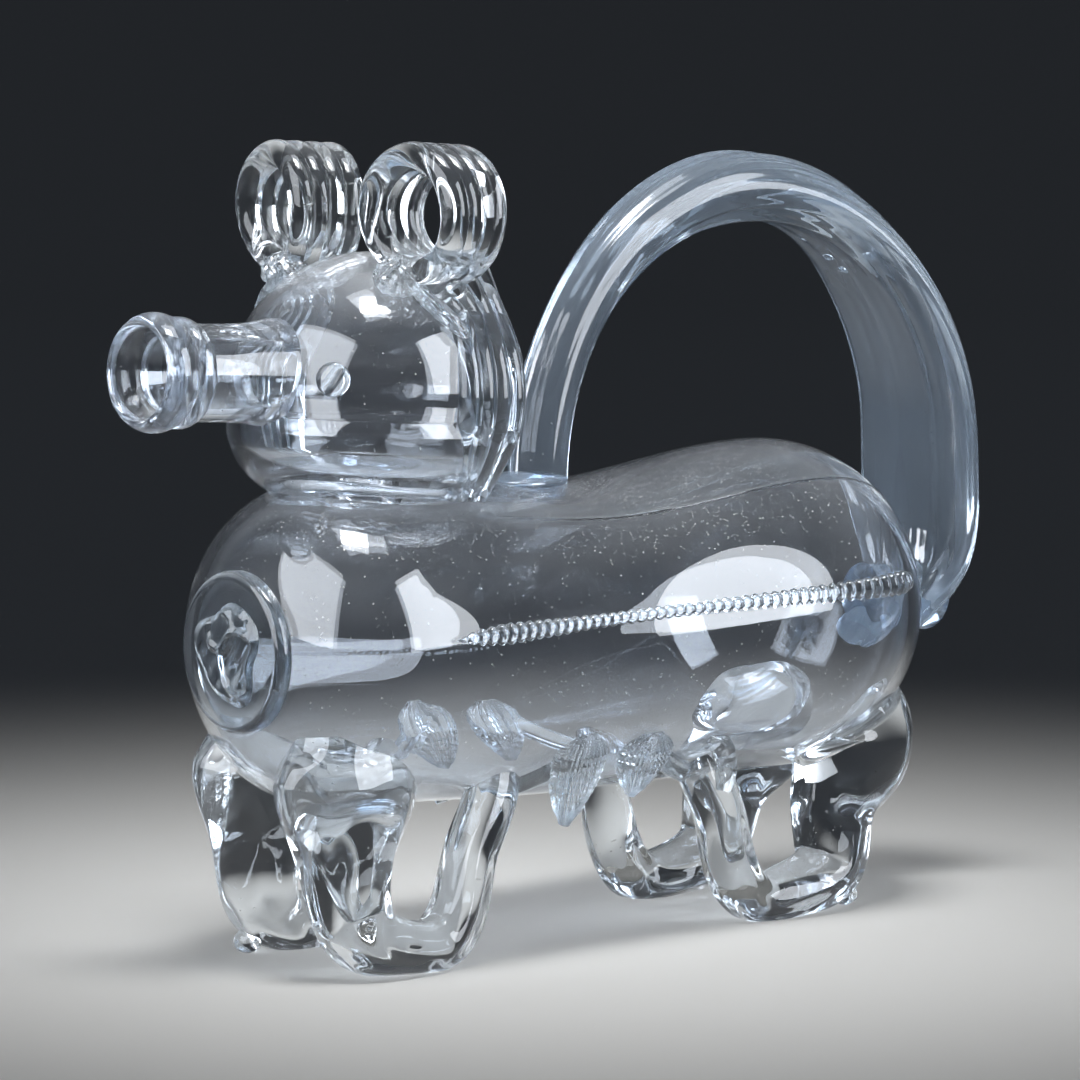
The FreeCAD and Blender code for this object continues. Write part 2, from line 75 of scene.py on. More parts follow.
# %% [markdown]
# ## Helpers for gathers of glass
# A glassworker makes every piece from a gather that is blown, drawn or pressed on. Three kinds of skin cover
# them all: rings of points along a path, a profile turned about an axis, and an oval lump. All are closed, so
# that each piece is a solid that light can enter and leave. Points are in millimetres until a mesh is made.

# %% Skins from rings of points
MERGE_GAP = 0.0005


def full_turn(count):
    """Even angles round a circle, without a last one that would repeat the first."""
    return np.linspace(0, 2 * math.pi, count, endpoint=False)


def walls(count, around, closed=False):
    """Quads between each ring of points and the next; where closed, the last ring meets the first."""
    faces = []
    for ring in range(count if closed else count - 1):
        low = ring * around
        high = (ring + 1) % count * around
        for step in range(around):
            after = (step + 1) % around
            faces.append((low + step, low + after, high + after, high + step))
    return faces


def skin(rings):
    """Points and faces of a closed skin through rings of points, with a middle point at each end."""
    rings = np.asarray(rings, float)
    count, around, _ = rings.shape
    points = np.vstack([rings.reshape(-1, 3), rings[0].mean(0), rings[-1].mean(0)])
    faces = walls(count, around)
    first_middle = count * around
    last = (count - 1) * around
    for step in range(around):
        after = (step + 1) % around
        faces.append((first_middle, after, step))
        faces.append((first_middle + 1, last + step, last + after))
    return points, faces


def hoop(rings):
    """Points and faces of rings that close on themselves."""
    count, around, _ = rings.shape
    return rings.reshape(-1, 3), walls(count, around, closed=True)


def close_up(mesh):
    """Merges the points that meet and turns the faces outwards."""
    cleaner = bmesh.new()
    cleaner.from_mesh(mesh)
    bmesh.ops.remove_doubles(cleaner, verts=cleaner.verts, dist=MERGE_GAP * MM)
    bmesh.ops.recalc_face_normals(cleaner, faces=cleaner.faces)
    cleaner.to_mesh(mesh)
    cleaner.free()


def solid(name, points, faces):
    """A mesh object from points in millimetres."""
    mesh = bpy.data.meshes.new(name)
    mesh.from_pydata((np.asarray(points) * MM).tolist(), [], faces)
    close_up(mesh)
    piece = bpy.data.objects.new(name, mesh)
    bpy.context.scene.collection.objects.link(piece)
    return piece


# %% Paths that ease from station to station
def eased(before, here, after, beyond, share):
    """Smooth value between here and after, with slopes taken from their neighbours."""
    square = share ** 2
    cube = share ** 3
    rise = (after - here) * (3 * square - 2 * cube)
    leaving = (after - before) / 2 * (cube - 2 * square + share)
    arriving = (beyond - here) / 2 * (cube - square)
    return here + rise + leaving + arriving


def cubic_path(points, steps):
    """Points along a natural cubic through the given ones, steps to each stretch."""
    points = np.asarray(points, float)
    count = len(points)
    gaps = np.linalg.norm(np.diff(points, axis=0), axis=1)
    system = np.eye(count)
    right = np.zeros_like(points)
    for i in range(1, count - 1):
        system[i, i - 1:i + 2] = gaps[i - 1], 2 * (gaps[i - 1] + gaps[i]), gaps[i]
        right[i] = 3 * ((points[i + 1] - points[i]) / gaps[i] - (points[i] - points[i - 1]) / gaps[i - 1])
    bend = np.linalg.solve(system, right)
    path = []
    for i in range(count - 1):
        slope = (points[i + 1] - points[i]) / gaps[i] - gaps[i] * (2 * bend[i] + bend[i + 1]) / 3
        twist = (bend[i + 1] - bend[i]) / (3 * gaps[i])
        for share in np.arange(steps) / steps:
            run = gaps[i] * share
            path.append(points[i] + slope * run + bend[i] * run ** 2 + twist * run ** 3)
    path.append(points[-1])
    return np.array(path)


def eased_sizes(sizes, steps):
    """Sizes for the same steps as cubic_path, eased from each station to the next."""
    sizes = np.asarray(sizes, float)
    last = len(sizes) - 1
    rows = []
    for i in range(last):
        before = sizes[max(0, i - 1)]
        beyond = sizes[min(last, i + 2)]
        for share in np.arange(steps) / steps:
            rows.append(eased(before, sizes[i], sizes[i + 1], beyond, share))
    rows.append(sizes[-1])
    return np.array(rows)


def directions(path, side):
    """At each point of a path: the way across it that is nearest to side, and the way out from both."""
    along = np.gradient(path, axis=0)
    along /= np.linalg.norm(along, axis=1)[:, None]
    level = side - along * (along @ side)[:, None]
    level /= np.linalg.norm(level, axis=1)[:, None]
    return level, np.cross(along, level)


# %% Drawn gathers and turned gathers
ACROSS = np.array((0.0, 1.0, 0.0))
BACK = np.array((1.0, 0.0, 0.0))
UP = np.array((0.0, 0.0, 1.0))
POLE = 0.01


def drawn(points, sizes, side=ACROSS, steps=10, around=56, shape=None):
    """Rings of an oval drawn along a path; sizes are half width along side, half thickness, hollow."""
    path = cubic_path(points, steps)
    level, out = directions(path, side)
    turn = full_turn(around)
    rings = []
    for number, (half_width, half_thick, hollow) in enumerate(eased_sizes(sizes, steps)):
        wide = np.cos(turn)
        thick = np.sin(turn)
        thick = np.where(thick < 0, thick * (1 - hollow * (1 - wide ** 2)), thick)
        if shape is not None:
            wide, thick = shape(number / (len(path) - 1), turn, wide, thick)
        flat_ring = path[number] + np.outer(half_width * wide, level[number])
        rings.append(flat_ring + np.outer(half_thick * thick, out[number]))
    return np.array(rings)


def turned(profile, origin, axis, zero, around=144):
    """Rings of a profile of (radius, distance along axis), turned about an axis from the zero direction."""
    origin, axis, zero = (np.asarray(v, float) for v in (origin, axis, zero))
    quarter = np.cross(axis, zero)
    turn = full_turn(around)
    ring = np.outer(np.cos(turn), zero) + np.outer(np.sin(turn), quarter)
    return np.array([origin + axis * run + ring * radius for radius, run in profile])


def rod(radius, start, end):
    """Profile of a plain rod, from the pole at one end to the pole at the other."""
    return [(POLE, start), (radius, start), (radius, end), (POLE, end)]


def arc(start, through, end, steps):
    """Points of the circle through three points of a profile, both ends included."""
    (ax, ay), (bx, by), (cx, cy) = start, through, end
    d = 2 * (ax * (by - cy) + bx * (cy - ay) + cx * (ay - by))
    a2, b2, c2 = ax * ax + ay * ay, bx * bx + by * by, cx * cx + cy * cy
    ux = (a2 * (by - cy) + b2 * (cy - ay) + c2 * (ay - by)) / d
    uy = (a2 * (cx - bx) + b2 * (ax - cx) + c2 * (bx - ax)) / d
    first, middle, last = (math.atan2(y - uy, x - ux) for x, y in (start, through, end))
    sweep = (last - first) % (2 * math.pi)
    if (middle - first) % (2 * math.pi) > sweep:
        sweep -= 2 * math.pi
    radius = math.hypot(ax - ux, ay - uy)
    turns = first + sweep * np.linspace(0, 1, steps)
    return [(ux + radius * math.cos(t), uy + radius * math.sin(t)) for t in turns]


# %% Lumps of glass
def lump(centre, half, around, count, reach=math.pi / 2 - 0.02, swell=None):
    """Rings of an oval lump, from low to high; reach is how near to its poles they come."""
    turn = full_turn(around)
    wide = tall = np.ones_like(turn)
    rings = []
    for rise in np.linspace(-reach, reach, count):
        if swell is not None:
            wide, tall = swell(turn, rise)
        flat = math.cos(rise) * wide
        x = half[0] * flat * np.cos(turn)
        y = half[1] * flat * np.sin(turn)
        z = half[2] * math.sin(rise) * tall
        rings.append(centre + np.stack([x, y, z], axis=1))
    return np.array(rings)


# %% [markdown]
# ## How the pieces fuse
# Hot glass melts together where it is laid on. If two solids only touched face to face, a renderer would see
# a film of air there and mirror it. So each piece that is laid on is cut by a copy of its host that is
# smaller by the fuse depth: the two then overlap by a hair, and light goes through without a jump.

# %% Cutting and finishing
FUSE_DEPTH = 0.12
SMOOTH_ANGLE = math.radians(40)
glass_pieces = bpy.data.collections.new("glass_pieces")
cutters = []


def cutter(name, points, faces):
    """A solid that is only used to cut or join others, and is taken away before the end."""
    piece = solid(name, points, faces)
    piece.hide_render = True
    cutters.append(piece)
    return piece


def carve(piece, tools, operation="DIFFERENCE"):
    """Applies a boolean with each tool, and any modifier the piece has, and leaves a plain mesh."""
    for tool in tools:
        step = piece.modifiers.new("cut", "BOOLEAN")
        step.operation = operation
        step.solver = "MANIFOLD"
        step.object = tool
    evaluated = piece.evaluated_get(bpy.context.evaluated_depsgraph_get())
    mesh = bpy.data.meshes.new_from_object(evaluated)
    piece.modifiers.clear()
    old = piece.data
    piece.data = mesh
    bpy.data.meshes.remove(old)
    mesh.name = piece.name


def finish_glass(piece, material, node):
    """Smooths a piece, gives it its glass and sets it on the frame in place of its node."""
    mesh = piece.data
    mesh.materials.clear()
    mesh.materials.append(material)
    mesh.polygons.foreach_set("material_index", [0] * len(mesh.polygons))
    mesh.polygons.foreach_set("use_smooth", [True] * len(mesh.polygons))
    mesh.set_sharp_from_angle(angle=SMOOTH_ANGLE)
    glass_pieces.objects.link(piece)
    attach(piece, "root")
    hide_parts(node)
    mesh.calc_loop_triangles()
    print(piece.name, len(mesh.loop_triangles), "triangles")


def mirrored(points):
    """Points of the animal's right side, moved to its left."""
    return np.asarray(points) * (1, -1, 1)


SIDE = {"right": np.asarray, "left": mirrored}

# %% [markdown]
# ## Glass
# The decanter is soda-lime glass, blown and tooled at the furnace: colourless, with an index of refraction
# near 1.52 and a fire-polished skin. Most of its look comes from what it bends and mirrors, so the finish is
# quiet: a very slight wave left by the hot tools, a trace of old residue, and dust from years on a shelf.
# The dust has two layers. A thin film lies in drifts on faces that look up. Specks lie on it: each cell of a
# Voronoi pattern holds one, which shows where the cell's random number is below the local amount, so they
# are dense on top and few on the sides. Real specks are finer than a pixel, so they are drawn larger.

# %% Node helper and colours
def linear(hex_colour):
    """Linear colour, with alpha, from an sRGB hex string."""
    values = [int(hex_colour[i:i + 2], 16) / 255 for i in (1, 3, 5)]
    return (*[v / 12.92 if v <= 0.04045 else ((v + 0.055) / 1.055) ** 2.4 for v in values], 1.0)


def add_node(tree, kind, inputs=None, **settings):
    """Adds a node and gives its outputs; each input is a socket to link from or a plain value to set."""
    node = tree.nodes.new(kind)
    for name, value in settings.items():
        setattr(node, name, value)
    for name, value in (inputs or {}).items():
        if isinstance(value, bpy.types.NodeSocket):
            tree.links.new(value, node.inputs[name])
        else:
            node.inputs[name].default_value = value
    return node.outputs


# %% Dust
SPECK_CELL_MM = 0.7
SPECK_CORE, SPECK_EDGE = 0.16, 0.34
FEWEST_SPECKS, MOST_SPECKS = 0.02, 0.9
DRIFT_MM = 30.0
DRIFT_THINNEST = 0.4
STEEPEST_LIE = 0.5


def dust_amount(tree, place, film_share, speck_share):
    """Socket with how much dust lies at a place: a film and specks on top, a few specks on the sides."""
    surface = add_node(tree, "ShaderNodeNewGeometry")
    upward = add_node(tree, "ShaderNodeSeparateXYZ", {"Vector": surface["Normal"]})["Z"]
    facing = add_node(tree, "ShaderNodeMapRange", {
        "Value": upward, "From Min": STEEPEST_LIE, "From Max": 1.0})[0]
    outside = add_node(tree, "ShaderNodeMath", {0: 1.0, 1: surface["Backfacing"]}, operation="SUBTRACT")[0]
    settled = add_node(tree, "ShaderNodeMath", {0: facing, 1: outside}, operation="MULTIPLY")[0]
    patch = add_node(tree, "ShaderNodeTexNoise", {
        "Vector": place, "Scale": 1 / (DRIFT_MM * MM), "Detail": 3.0})["Fac"]
    drift = add_node(tree, "ShaderNodeMapRange", {
        "Value": patch, "From Min": 0.3, "From Max": 0.7, "To Min": DRIFT_THINNEST})[0]
    lying = add_node(tree, "ShaderNodeMath", {0: settled, 1: drift}, operation="MULTIPLY")[0]
    film = add_node(tree, "ShaderNodeMath", {0: lying, 1: film_share}, operation="MULTIPLY")[0]
    amount = add_node(tree, "ShaderNodeMapRange", {
        "Value": lying, "To Min": FEWEST_SPECKS, "To Max": MOST_SPECKS})[0]
    cells = add_node(tree, "ShaderNodeTexVoronoi", {"Vector": place, "Scale": 1 / (SPECK_CELL_MM * MM)})
    grain = add_node(tree, "ShaderNodeMapRange", {
        "Value": cells["Distance"], "From Min": SPECK_EDGE, "From Max": SPECK_CORE})[0]
    chance = add_node(tree, "ShaderNodeSeparateXYZ", {"Vector": cells["Color"]})["X"]
    shown = add_node(tree, "ShaderNodeMath", {0: chance, 1: amount}, operation="LESS_THAN")[0]
    speck = add_node(tree, "ShaderNodeMath", {0: grain, 1: shown}, operation="MULTIPLY")[0]
    grains = add_node(tree, "ShaderNodeMath", {0: speck, 1: speck_share}, operation="MULTIPLY")[0]
    return add_node(tree, "ShaderNodeMath", {0: grains, 1: film}, operation="MAXIMUM")[0]


# %% Four glasses
GLASS_IOR = 1.52
DUST_COLOUR = "#c9c3b2"
DUST_ROUGHNESS = 0.6
MIX_CLEAN, MIX_DUSTY, MIX_RESULT = 6, 7, 2


def new_glass(name, tint, wave_mm, wave_depth_mm, film, specks, haze, clearness):
    """Glass with a tool wave of a real width, a residue that takes from its clearness, and dust."""
    material = bpy.data.materials.new(name)
    material.use_nodes = True
    tree = material.node_tree
    tree.nodes.clear()
    place = add_node(tree, "ShaderNodeTexCoord")["Object"]
    wave = add_node(tree, "ShaderNodeTexNoise", {
        "Vector": place, "Scale": 1 / (wave_mm * MM), "Detail": 1.0})["Fac"]
    bump = add_node(tree, "ShaderNodeBump", {
        "Height": wave, "Strength": 1.0, "Distance": wave_depth_mm * MM})["Normal"]
    dust = dust_amount(tree, place, film, specks)
    clear = add_node(tree, "ShaderNodeMapRange", {"Value": dust, "To Min": clearness, "To Max": 0.0})[0]
    rough = add_node(tree, "ShaderNodeMapRange", {"Value": dust, "To Min": haze, "To Max": DUST_ROUGHNESS})[0]
    colour = add_node(tree, "ShaderNodeMix", {
        "Factor": dust, MIX_CLEAN: linear(tint), MIX_DUSTY: linear(DUST_COLOUR)
    }, data_type="RGBA")[MIX_RESULT]
    glass = add_node(tree, "ShaderNodeBsdfPrincipled", {
        "Base Color": colour, "Roughness": rough, "Transmission Weight": clear, "Normal": bump,
        "IOR": GLASS_IOR})[0]
    add_node(tree, "ShaderNodeOutputMaterial", {"Surface": glass})
    return material


# Blown soda glass: a clear, deep wall with slow waves. The head has gathered more dust on its dome.
BLOWN = {"tint": "#f2f6fb", "wave_mm": 26, "wave_depth_mm": 0.05,
         "specks": 0.42, "haze": 0.0, "clearness": 0.985}
blown_glass = new_glass("blown_soda_glass", film=0.06, **BLOWN)
head_glass = new_glass("blown_soda_glass_dusty", film=0.3, **BLOWN)
# Trailed soda glass: solid, bright and lens-like, with the shorter waves of the tools.
trailed_glass = new_glass("trailed_soda_glass", "#f4f8fb", wave_mm=9, wave_depth_mm=0.04,
                          film=0.05, specks=0.3, haze=0.0, clearness=0.99)
# Drawn tail glass: thick, with a grey-blue cast and a slightly milky depth.
tail_glass = new_glass("drawn_tail_glass", "#ccdae8", wave_mm=16, wave_depth_mm=0.05,
                       film=0.05, specks=0.3, haze=0.05, clearness=0.925)
print("glasses", [m.name for m in (blown_glass, head_glass, trailed_glass, tail_glass)])

# %% [markdown]
# ## The body
# The body is one bubble, blown and rolled to a barrel: flat chest, drawn-in waist, fuller rump. It could be
# sculpted from a sphere, but its profile is only a few arcs and an ease, so rings along the X axis give an
# even skin. The inner skin follows it at the wall's thickness, with slow swells of its own, because a blown
# wall is never quite even. A cord, a fine line of stiffer glass, runs along the left shoulder to the rump's
# pole; the rings get a few closer points there to hold it.

# %% Body skin
CHEST_X, CHEST_Z, CHEST_FLAT, CHEST_ROUND = -95.7, 71.5, 11.0, 26.0
CHEST_END = CHEST_X + CHEST_ROUND
WAIST_X, WAIST_Z, WAIST_RADIUS = -5.7, 68.5, 36.0
RUMP_X, RUMP_Z, RUMP_RADIUS = 59.8, 71.5, 39.5


def barrel_at(x):
    """Axis height and radius of the barrel between chest and rump."""
    if x < WAIST_X:
        share = min(1.0, (WAIST_X - x) / (WAIST_X - CHEST_END))
        end_z, end_radius = CHEST_Z, CHEST_FLAT + CHEST_ROUND
    else:
        share = min(1.0, (x - WAIST_X) / (RUMP_X - WAIST_X))
        end_z, end_radius = RUMP_Z, RUMP_RADIUS
    ease = share * share * (3 - 2 * share)
    return WAIST_Z + (end_z - WAIST_Z) * ease, WAIST_RADIUS + (end_radius - WAIST_RADIUS) * ease


def body_profile(inset):
    """(x, axis height, radius) from the chest's flat to the rump's pole."""
    rows = []
    chest_reach = CHEST_ROUND - inset
    for turn in np.linspace(0, math.pi / 2, 20):
        radius = CHEST_FLAT + chest_reach * math.sin(turn)
        rows.append((CHEST_END - chest_reach * math.cos(turn), CHEST_Z, radius))
    for x in np.linspace(CHEST_END, RUMP_X, 62)[1:-1]:
        axis_z, radius = barrel_at(x)
        rows.append((x, axis_z, radius - inset))
    rump_reach = RUMP_RADIUS - inset
    for turn in np.linspace(math.pi / 2, 0.02, 26):
        rows.append((RUMP_X + rump_reach * math.cos(turn), RUMP_Z, rump_reach * math.sin(turn)))
    return rows


# %% Swells and the cord line
CORD_TURN, CORD_WIDTH, CORD_HEIGHT = math.radians(127.1), math.radians(0.5), 0.25
CORD_START_X, CORD_FADE = -40.0, 30.0
CORD_STEPS = np.array((-3, -2, -1, -0.5, 0, 0.5, 1, 2, 3))
BODY_TURNS = np.sort(np.concatenate([full_turn(160), CORD_TURN + CORD_WIDTH * CORD_STEPS]))
CALM_RADIUS = 25.0


def body_rings(inset, swell, cord_height=0.0):
    """Rings of the body; swell is the height of the slow waves, which die out towards the poles."""
    turn = BODY_TURNS
    cord = cord_height * np.exp(-((turn - CORD_TURN) / CORD_WIDTH) ** 2)
    rings = []
    for x, axis_z, radius in body_profile(inset):
        calm = min(1.0, radius / CALM_RADIUS)
        wave = np.sin(2 * turn + x / 38 + 0.7) * math.sin(x / 27 + 0.4) + 0.6 * np.sin(3 * turn - x / 21)
        cord_share = np.clip((x - CORD_START_X) / CORD_FADE, 0, 1)
        r = radius + swell * wave * calm + cord * cord_share * calm
        rings.append(np.stack([np.full_like(turn, x), r * np.cos(turn), axis_z + r * np.sin(turn)], axis=1))
    return rings


# %% Body, hollow inside, with the throat's bore
BODY_WALL, BODY_SWELL, BODY_HOLLOW_SWELL = 2.6, 0.12, 0.45
HEAD_X = -59.1
THROAT_BORE, THROAT_BORE_TOP = 7.4, 128.0
body = solid("body_glass", *skin(body_rings(0.0, BODY_SWELL, CORD_HEIGHT)))
body_hollow = cutter("body_hollow_cut", *skin(body_rings(BODY_WALL, BODY_HOLLOW_SWELL)))
body_cut = cutter("body_cut", *skin(body_rings(FUSE_DEPTH, BODY_SWELL, CORD_HEIGHT)))
throat_run = rod(THROAT_BORE, WAIST_Z, THROAT_BORE_TOP)
throat_bore = cutter("throat_bore_cut", *skin(turned(throat_run, (HEAD_X, 0, 0), UP, BACK, 96)))
carve(body, [body_hollow, throat_bore])
finish_glass(body, blown_glass, "body_barrel")

# %% [markdown]
# ## The head
# A second, smaller bubble. Its profile is turned about an axis that leans back by three degrees: a dished
# base, a round chin, two creases that make the jaw, and a dome. A turned profile keeps the creases crisp all
# the way round, as the blocks left them. The snout's bore and the throat's bore open into it.

# %% Head skin
HEAD_TILT = math.radians(3.0)
HEAD_BASE_Z, HEAD_BASE_RADIUS = 103.0, 20.0
HEAD_DISH, HEAD_DISH_RADIUS = 6.5, 11.0
CHEEK_RADIUS, CHEEK_Z, CROWN_Z = 32.2, 127.0, 158.3
JAW_UPPER_Z, JAW_LOWER_Z, JAW_CREASE = 121.8, 114.4, 0.9
CHIN_BULGE = 2.0


def set_head(points):
    """Points of the upright head, leaned back and set on the body."""
    points = np.asarray(points, float) - (0, 0, HEAD_BASE_Z)
    x = points[..., 0] * math.cos(HEAD_TILT) + points[..., 2] * math.sin(HEAD_TILT)
    z = points[..., 2] * math.cos(HEAD_TILT) - points[..., 0] * math.sin(HEAD_TILT)
    return np.stack([x + HEAD_X, points[..., 1], z + HEAD_BASE_Z], axis=-1)


def head_profile(inset, floor):
    """(radius, height) from the dish under the chin round to the crown."""
    dish_z = HEAD_BASE_Z + HEAD_DISH + inset
    cheek = CHEEK_RADIUS - inset
    foot = (HEAD_BASE_RADIUS - inset, HEAD_BASE_Z + floor)
    lower = (cheek - JAW_CREASE, JAW_LOWER_Z)
    upper = (cheek - JAW_CREASE, JAW_UPPER_Z)
    chord = np.subtract(lower, foot) / math.dist(lower, foot)
    chin = tuple(np.add(foot, lower) / 2 + np.array((chord[1], -chord[0])) * CHIN_BULGE)
    roll = (cheek, (JAW_LOWER_Z + JAW_UPPER_Z) / 2)
    rows = [(POLE, dish_z), (HEAD_DISH_RADIUS - inset, dish_z)]
    rows += arc(foot, chin, lower, 14)
    rows += arc(lower, roll, upper, 14)[1:]
    for turn in np.linspace(0, math.pi / 2 - 0.01, 34):
        rise = (CROWN_Z - inset - CHEEK_Z) * math.sin(turn)
        rows.append((cheek * math.cos(turn), CHEEK_Z + rise))
    return rows


def head_rings(inset, floor, swell):
    """Rings of the head; swell is the height of the slow waves in its skin."""
    rings = turned(head_profile(inset, floor), (0, 0, 0), UP, BACK, 160)
    turn = np.arctan2(rings[..., 1], rings[..., 0])
    height = rings[..., 2]
    wave = np.sin(2 * turn + height / 17) * np.sin(height / 15) + 0.5 * np.sin(3 * turn - height / 12)
    rings[..., :2] *= (1 + swell * wave / CHEEK_RADIUS)[..., None]
    return set_head(rings)


# %% Head, cut for its two bores and seated on the body
HEAD_WALL, HEAD_FLOOR, HEAD_SWELL, HEAD_HOLLOW_SWELL = 2.4, 4.6, 0.1, 0.35
SNOUT_PITCH = math.radians(2.5)
SNOUT_Z = 131.0
SNOUT_BORE, SNOUT_RADIUS = 7.9, 10.7
LIP_FRONT_X = -121.7
snout_axis = np.array((-math.cos(SNOUT_PITCH), 0, math.sin(SNOUT_PITCH)))
snout_start = np.array((HEAD_X, 0, SNOUT_Z))
snout_length = (HEAD_X - LIP_FRONT_X) / math.cos(SNOUT_PITCH)

bore_run = rod(SNOUT_BORE, 0, snout_length)
snout_bore = cutter("snout_bore_cut", *skin(turned(bore_run, snout_start, snout_axis, ACROSS, 96)))
head = solid("head_glass", *skin(head_rings(0.0, 0.0, HEAD_SWELL)))
head_hollow = cutter("head_hollow_cut", *skin(head_rings(HEAD_WALL, HEAD_FLOOR, HEAD_HOLLOW_SWELL)))
head_cut = cutter("head_cut", *skin(head_rings(FUSE_DEPTH, 0.0, HEAD_SWELL)))
carve(head, [head_hollow, throat_bore, snout_bore, body_cut])
finish_glass(head, head_glass, "head_bulb")

# %% [markdown]
# ## Throat and snout
# The throat is the short ring where head and body were joined. The snout is the bottle's neck: a tube that
# flares a little where it meets the cheek, a second ring, and a fire-polished lip. All four were turned on
# the rod, so turned profiles make them, each closed on itself like a hoop.

# %% Throat and neck
THROAT_RADIUS, THROAT_LOW, THROAT_HIGH = 13.0, 96.0, 118.0
LIP_RADIUS, LIP_LENGTH, MOUTH_RADIUS = 13.1, 8.0, 10.0
NECK_START, FLARE_START, FLARE = 22.0, 28.0, 1.4
lip_start = snout_length - LIP_LENGTH


def snout_tube(name, rows):
    """A closed profile turned about the snout's axis."""
    return solid(name, *hoop(turned(rows, snout_start, snout_axis, ACROSS)))


throat_rows = [(THROAT_BORE, THROAT_LOW), (THROAT_RADIUS, THROAT_LOW),
               (THROAT_RADIUS, THROAT_HIGH), (THROAT_BORE, THROAT_HIGH)]
throat = solid("throat_glass", *hoop(turned(throat_rows, (HEAD_X, 0, 0), UP, BACK)))
carve(throat, [body_cut, head_cut])

neck_rows = [(SNOUT_BORE, NECK_START), (SNOUT_RADIUS + FLARE, NECK_START)]
for share in np.linspace(0, 1, 16):
    swell = FLARE * (1 - share) ** 5
    neck_rows.append((SNOUT_RADIUS + swell, FLARE_START + (lip_start - FLARE_START) * share))
neck_rows += [(SNOUT_RADIUS, lip_start + FUSE_DEPTH), (SNOUT_BORE, lip_start + FUSE_DEPTH)]
neck = snout_tube("snout_glass", neck_rows)
carve(neck, [head_cut])

# %% Lip and second ring
RING_RADIUS, RING_LENGTH, RING_STEP = 12.2, 5.0, 0.5
LIP_EDGE, LIP_NOSE = 0.4, 0.35


def lip_rows():
    """Profile of the fire-polished lip round the bore: round back, easy front, flared inside."""
    band = LIP_RADIUS - MOUTH_RADIUS
    front = lip_start + LIP_LENGTH
    back_out = (LIP_RADIUS - 0.22 * LIP_LENGTH, lip_start)
    crest = (LIP_RADIUS, lip_start + 0.55 * LIP_LENGTH)
    front_out = (MOUTH_RADIUS + 0.55 * band, front)
    nose = (MOUTH_RADIUS + 0.22 * band, front + LIP_NOSE)
    front_in = (MOUTH_RADIUS, front - LIP_EDGE)
    rows = arc(back_out, crest, front_out, 22)
    rows += arc(front_out, nose, front_in, 10)[1:]
    for share in np.linspace(0, 1, 10)[1:]:
        flare = (SNOUT_BORE - MOUTH_RADIUS) * math.sin(share * math.pi / 2)
        rows.append((MOUTH_RADIUS + flare, front_in[1] - (LIP_LENGTH - LIP_EDGE) * share))
    return rows


lip = snout_tube("lip_glass", lip_rows())
ring_start = lip_start - RING_LENGTH
ring_inner = SNOUT_RADIUS - FUSE_DEPTH
ring_end = lip_start + FUSE_DEPTH
ring_crest = (RING_RADIUS, ring_start + RING_LENGTH / 2)
ring_rows = arc((ring_inner, ring_start), ring_crest, (SNOUT_RADIUS + RING_STEP, ring_end), 20)
ring = snout_tube("neck_ring_glass", ring_rows + [(ring_inner, ring_end)])
for piece, node in ((throat, "throat"), (neck, "snout_neck"), (lip, "lip_bead"), (ring, "lip_collar")):
    finish_glass(piece, blown_glass, node)

# %% [markdown]
# ## Ears and their drapes
# Each ear is a ribbed strap, drawn up the cheek and rolled into a curl; a second strap drapes down the cheek.
# A plain bent strip would lose the ribs, so the section itself has four ridges side by side. Turned about the
# curl's axis it gives the roll, and drawn down the cheek it gives the drape. Where ear and drape were pressed
# on, the hot glass crumpled: a creased lump is joined to each. The right drape lies further forward.

# %% Ear curl
EAR_RIDGES, EAR_PITCH, EAR_RIDGE_RADIUS = 4, 4.4, 3.25
EAR_CURL_RADIUS = 12.2
EAR_CENTRE = np.array((-3.6, 23.5, 167.0))
EAR_TURN = math.radians(8.0)
INNER_RIDGE = 0.55
EAR_NARROWING, EAR_DRIFT, EAR_SWAY = 0.16, 1.6, 0.8


def ridge_section(radius, pitch, per_ridge=14):
    """(along, lift) of a scalloped strap, ridges on both faces."""
    half_run = pitch * (EAR_RIDGES - 1) / 2
    reach = math.asin(pitch / 2 / radius)
    upper = []
    for ridge in range(EAR_RIDGES):
        low = -math.pi / 2 if ridge == 0 else -reach
        high = math.pi / 2 if ridge == EAR_RIDGES - 1 else reach
        for lean in np.linspace(low, high, per_ridge)[:-1]:
            upper.append((ridge * pitch - half_run + radius * math.sin(lean), radius * math.cos(lean)))
    return upper + [(-along, -lift) for along, lift in upper]


def ear_rings(inset):
    """The ribbed section turned round the curl's axis: ridges lower inside, strap narrower at the cheek."""
    axis = np.array((-math.cos(EAR_TURN), math.sin(EAR_TURN), 0))
    level = np.cross(axis, UP)
    radius = EAR_RIDGE_RADIUS - inset
    section = np.array(ridge_section(radius, EAR_PITCH))
    inner = section[:, 1] < 0
    evened = radius * np.sqrt(np.maximum(0, 1 - (section[inner, 0] / section[:, 0].max()) ** 6))
    section[inner, 1] = INNER_RIDGE * section[inner, 1] - (1 - INNER_RIDGE) * evened
    rings = []
    for turn in full_turn(144):
        out = UP * math.cos(turn) + level * math.sin(turn)
        low = 0.5 - 0.5 * math.cos(turn)
        drift = EAR_DRIFT * low * low - EAR_SWAY * math.sin(turn) ** 2
        along = section[:, 0] * (1 - EAR_NARROWING * low) - drift
        ring = EAR_CENTRE + out * EAR_CURL_RADIUS + np.outer(along, axis)
        rings.append(ring + np.outer(section[:, 1], out))
    return set_head(np.array(rings))


